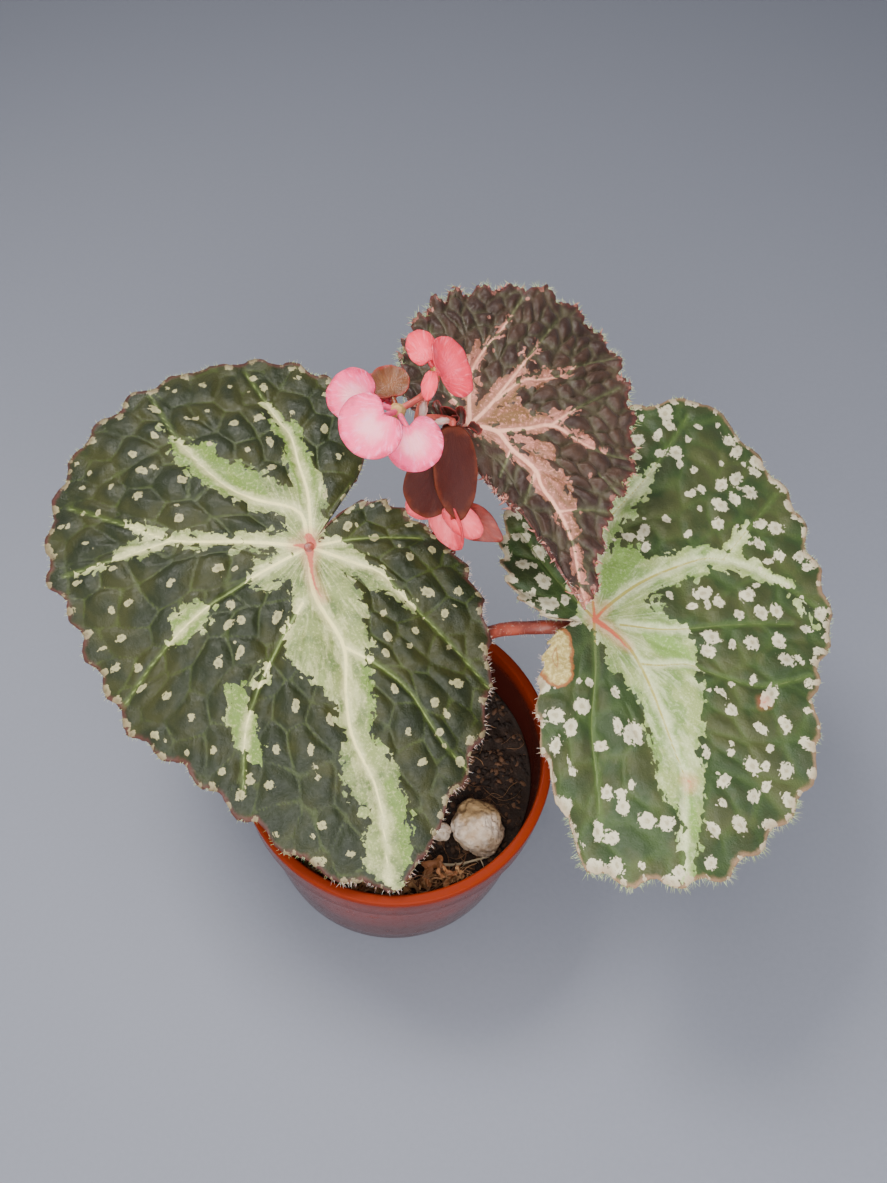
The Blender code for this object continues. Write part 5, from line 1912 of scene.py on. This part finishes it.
@dataclass
class Litter:
    """A pale root, dried bits of leaf and coarse fibres on the soil at the front."""

    soil: Soil
    root: tuple[Point, ...] = ((15.5, -33.2, 53.6), (20, -33.6, 54.8), (24.5, -32.9, 55.2),
                               (28.5, -31.6, 54.9), (32.5, -30.2, 53.6))
    root_radius: float = 0.55
    root_steps: int = 30
    rootlet_radius: float = 0.22
    rootlet_steps: int = 8
    # Each bit's place, half length and turn in degrees.
    bits: tuple[tuple[float, float, float, float, float], ...] = (
        (13.0, -33.5, 57.0, 3.9, 20), (16.2, -36.0, 57.5, 3.2, 120), (11.0, -38.5, 57.0, 4.1, 70),
        (18.5, -38.0, 56.0, 3.0, 200), (6.0, -41.5, 58.0, 2.9, 10), (-18, -39.5, 57.5, 2.7, 80),
        (-27, -36.0, 58.0, 2.9, 150), (-8, -43.0, 57.0, 2.8, 40), (-35, -29, 58.0, 2.5, 100))
    bit_thickness: float = 0.3
    rim_span: tuple[float, float] = (-142, -58)
    rim_bits: int = 60
    bit_ring: tuple[float, float] = (41.5, 45.6)
    bit_heights: tuple[float, float] = (59, 66.5)
    bit_sizes: tuple[float, float] = (1.2, 2.7)
    rim_fibres: int = 150
    fibre_ring: tuple[float, float] = (41, 47)
    fibre_heights: tuple[float, float] = (58, 67)
    fibre_radii: tuple[float, float] = (0.1, 0.26)
    innermost: float = 38.0
    outermost: float = 47.4
    lowest: float = 55.0
    root_seed: int = 5
    bit_seed: int = 12
    rim_seed: int = 77

    def build_root(self) -> Piece:
        """Builds the pale root with a few rootlets."""
        draw = random.Random(self.root_seed)
        steps, fine = self.root_steps, self.rootlet_steps
        path = smooth_path([mm(point) for point in self.root], steps)
        parts = [tube("root", path, [self.root_radius * MM * (1 - 0.4 * s / steps)
                                     for s in range(steps + 1)], 2)]
        for step in range(4, steps - 2, 4):
            tip = path[step] + mm((draw.uniform(-2, 2), draw.uniform(-4, 1.5), -1.6))
            bend = path[step].lerp(tip, 0.5) + mm((0, 0, 0.8))
            parts.append(tube("rootlet", smooth_path([path[step], bend, tip], fine),
                              [self.rootlet_radius * MM * (1 - 0.6 * s / fine)
                               for s in range(fine + 1)], 1))
        root = joined("soil_pale_root", parts)
        fill(root, "tone", 0.6)
        dress(root, ROOT.material())
        return root

    def build_bits(self) -> Piece:
        """Builds the curled scraps of dried leaf."""
        draw = random.Random(self.bit_seed)
        scraps = []
        bits = list(self.bits)
        for _ in range(self.rim_bits):
            bearing = math.radians(draw.uniform(*self.rim_span))
            out = draw.uniform(*self.bit_ring)
            bits.append((out * math.cos(bearing), out * math.sin(bearing),
                         draw.uniform(*self.bit_heights), draw.uniform(*self.bit_sizes),
                         draw.uniform(0, 180)))
        for x, y, z, size, turn in bits:
            bpy.ops.mesh.primitive_grid_add(x_subdivisions=14, y_subdivisions=9, size=2)
            scrap = added("scrap")
            points = points_of(scrap)
            u, v = points[:, 0].copy(), points[:, 1].copy()
            torn = 1 - 0.25 * np.abs(np.sin(5 * u + turn)) - 0.2 * v ** 2
            curl = draw.uniform(0.3, 0.6)
            points[:, 0] = u * size * (1 - 0.3 * v ** 2)
            points[:, 1] = v * size * 0.6 * torn
            points[:, 2] = (curl * size * (u ** 2 * 0.5 - 0.6 * v ** 2)
                            + 0.35 * np.sin(4 * u + 3 * v + turn))
            spin = Matrix.Rotation(math.radians(turn), 3, "Z")
            tip = Matrix.Rotation(draw.uniform(-0.5, 0.9), 3, "X")
            points = points @ np.array(spin @ tip).T + np.array((x, y, z))
            move_points(scrap, points * MM)
            fill(scrap, "tone", draw.random())
            modify(scrap, "SOLIDIFY", thickness=self.bit_thickness * MM, offset=0)
            modify(scrap, "SUBSURF", levels=1, render_levels=1)
            scraps.append(scrap)
        bits = joined("soil_dried_leaves", scraps)
        dress(bits, DRIED.material())
        return bits

    def build_rim_fibres(self) -> Piece:
        """Builds the coarse tan fibres that lie tangled along the front wall."""
        draw = random.Random(self.rim_seed)
        fibres = []
        for _ in range(self.rim_fibres):
            bearing = math.radians(draw.uniform(*self.rim_span))
            out = draw.uniform(*self.fibre_ring)
            height = draw.uniform(*self.fibre_heights)
            path = []
            for _step in range(4):
                path.append(mm((out * math.cos(bearing), out * math.sin(bearing), height)))
                bearing += draw.uniform(-0.09, 0.11)
                out = min(self.outermost, max(self.innermost, out + draw.uniform(-2.5, 2.5)))
                height = max(self.lowest, height + draw.uniform(-2.5, 2.0))
            fibres.append(strand(path, draw.uniform(*self.fibre_radii) * MM, 0.6, 1, draw.random()))
        tangle = joined("soil_rim_fibres", fibres)
        dress(tangle, FIBRES.material())
        return tangle

    def make(self) -> None:
        """Builds and settles the litter."""
        settle(self.build_root(), Slot.SOIL)
        settle(self.build_bits(), Slot.SOIL)
        settle(self.build_rim_fibres(), Slot.SOIL)


@dataclass
class Stone(Whole):
    """A rough pitted lump on the soil."""

    node: str
    centre: Point
    half_sizes: Point
    turn: float
    roughness: float = 0.16
    detail: int = 6
    # Each kind of pit's depth, fineness and the noise above which it starts.
    pits: tuple[Triple, ...] = ((0.3, 3.1, 0.22), (0.25, 7.3, 0.34))
    slot: Slot = Slot.STONE

    def build(self) -> Piece:
        """Builds the lump from a sphere dented by noise, with pits and chipped edges."""
        bpy.ops.mesh.primitive_ico_sphere_add(subdivisions=self.detail, radius=1)
        lump = added(self.node + "_rock")
        middle = Vector(self.centre)
        turn = Matrix.Rotation(math.radians(self.turn), 3, "Z")
        for vertex in lump.data.vertices:
            way = vertex.co.normalized()
            bulge = 1 + self.roughness * noise.noise(way * 1.7 + middle)
            bulge += 0.05 * noise.noise(way * 4.1 + middle) + 0.018 * noise.noise(way * 11 + middle)
            for depth, fineness, limit in self.pits:
                bulge -= depth * max(0.0, noise.noise(way * fineness - middle) - limit)
            sides = Vector([way[i] * self.half_sizes[i] * bulge for i in range(3)])
            vertex.co = (middle + turn @ sides) * MM
        lump.data.update()
        dress(lump, STONE_WARM.material())
        return lump


# Camera, light and floor


# Each light's name, place in metres, side, power, spread in degrees and tint.
LIGHTS = (
    ("key", (-0.12, 0.1, 1.1), 0.9, 7.0, 180, (1.0, 0.98, 0.95)),
    ("back", (-0.35, 0.35, 0.9), 0.3, 2.0, 80, (1.0, 0.98, 0.94)),
    ("front", (0.03, -0.6, 0.48), 0.8, 12.5, 180, (1.0, 0.99, 0.97)),
    ("left", (-0.55, -0.15, 0.16), 0.35, 0.6, 180, (0.97, 0.98, 1.0)),
    ("right", (0.55, -0.15, 0.16), 0.35, 0.8, 180, (0.97, 0.98, 1.0)))


@dataclass(frozen=True)
class Studio:
    """The view of the photograph, with soft light over a plain pale floor."""

    camera_place: Point = (0.0, -0.142, 0.437)
    pitch: float = 60.8
    yaw: float = 2.1
    roll: float = 1.7
    lens: float = 35.0
    floor_size: float = 6.0
    floor_shade: Shade = (108, 111, 122)
    floor_fleck: Shade = (150, 150, 160)
    world_shade: Shade = (205, 210, 222)
    world_strength: float = 0.45

    def place_camera(self) -> None:
        """Sets up the camera at the photograph's angle."""
        pitch, yaw, roll = (math.radians(angle) for angle in (self.pitch, self.yaw, self.roll))
        ahead = Vector((0, math.cos(pitch), -math.sin(pitch)))
        up = Vector((0, math.sin(pitch), math.cos(pitch)))
        right = Vector((1, 0, 0))
        ahead, right = (ahead * math.cos(yaw) + right * math.sin(yaw),
                        right * math.cos(yaw) - ahead * math.sin(yaw))
        right, up = (right * math.cos(roll) + up * math.sin(roll),
                     up * math.cos(roll) - right * math.sin(roll))
        data = bpy.data.cameras.new("camera")
        data.lens = self.lens
        data.sensor_width = 36
        data.clip_start = 0.01
        camera = bpy.data.objects.new("camera", data)
        camera.matrix_world = (Matrix.Translation(self.camera_place)
                               @ Matrix((right, up, -ahead)).transposed().to_4x4())
        bpy.context.scene.collection.objects.link(camera)
        bpy.context.scene.camera = camera

    def add_light(self, name: str, place: Point, size: float, power: float, spread: float,
                  tint: Point) -> None:
        """Adds a square area light that shines on the plant.

        Args:
            name: The light's name.
            place: Where it stands, in metres.
            size: Its side, in metres.
            power: Its power in watts.
            spread: The angle that its rays fan out over, in degrees.
            tint: Its colour.
        """
        data = bpy.data.lights.new(name, "AREA")
        data.size = size
        data.energy = power
        data.spread = math.radians(spread)
        data.color = tint
        light = bpy.data.objects.new(name, data)
        aim = Vector(place) - Vector((0, 0, 0.12))
        light.matrix_world = Matrix.Translation(place) @ aimed(aim)
        bpy.context.scene.collection.objects.link(light)

    def build_floor(self) -> None:
        """Builds the pale floor, faintly mottled."""
        bpy.ops.mesh.primitive_grid_add(x_subdivisions=4, y_subdivisions=4, size=self.floor_size)
        floor = added("floor")
        g = Graph("pale floor")
        fine = g.noise(2.0, 3)
        shade = g.mix(g.times(g.rise(fine, 0.3, 0.7), 0.06), self.floor_shade, self.floor_fleck)
        dress(floor, g.finish(Base_Color=shade, Roughness=g.rise(fine, 0.3, 0.7, 0.6, 0.7),
                              Normal=g.bump(fine, 0.05)))

    def make(self) -> None:
        """Sets up camera, lights, world and floor."""
        self.place_camera()
        for light in LIGHTS:
            self.add_light(*light)
        world = bpy.data.worlds.new("studio")
        bpy.context.scene.world = world
        world.use_nodes = True
        background = world.node_tree.nodes["Background"]
        background.inputs["Color"].default_value = linear(self.world_shade)
        background.inputs["Strength"].default_value = self.world_strength
        self.build_floor()


def main() -> None:
    """Builds the studio and each sub-assembly in turn."""
    Studio().make()
    for leaf in (LEAF_LEFT, LEAF_RIGHT, LEAF_TOP):
        leaf.make()
    for petiole in (
            Petiole("petiole_left", [(-15, 27, 56), (-15, 27, 66), (-17, 31, 86), (-23, 37, 108)],
                    LEAF_LEFT, knob_radius=1.9, knob_height=0.8),
            Petiole("petiole_right", [(14, 8, 58), (14, 8, 67), (16, 20, 86), (27, 28, 104),
                                      (44, 25.5, 116)], LEAF_RIGHT),
            Petiole("petiole_top", [(5, 14.5, 57), (5, 14.5, 66), (11, 38, 86), (15.2, 53, 110),
                                    (15.2, 56.2, 127), (14.6, 57, 150)], LEAF_TOP)):
        petiole.make()
    for part in (BLOOM_FRONT, BLOOM_UPPER, BLOOM_LOWER, SEED_CASE, *SCALES, FlowerStalk(),
                 Rhizome()):
        part.make()
    pot = Pot()
    soil = Soil(pot)
    for part in (pot, soil, Litter(soil),
                 Stone("stone_large", (28.4, -21, 56.5), (8.6, 9.4, 7.4), 25),
                 Stone("stone_small", (15.4, -21.5, 53.4), (3.4, 4.0, 3.0), 70, detail=5)):
        part.make()


if __name__ == "__main__":
    main()
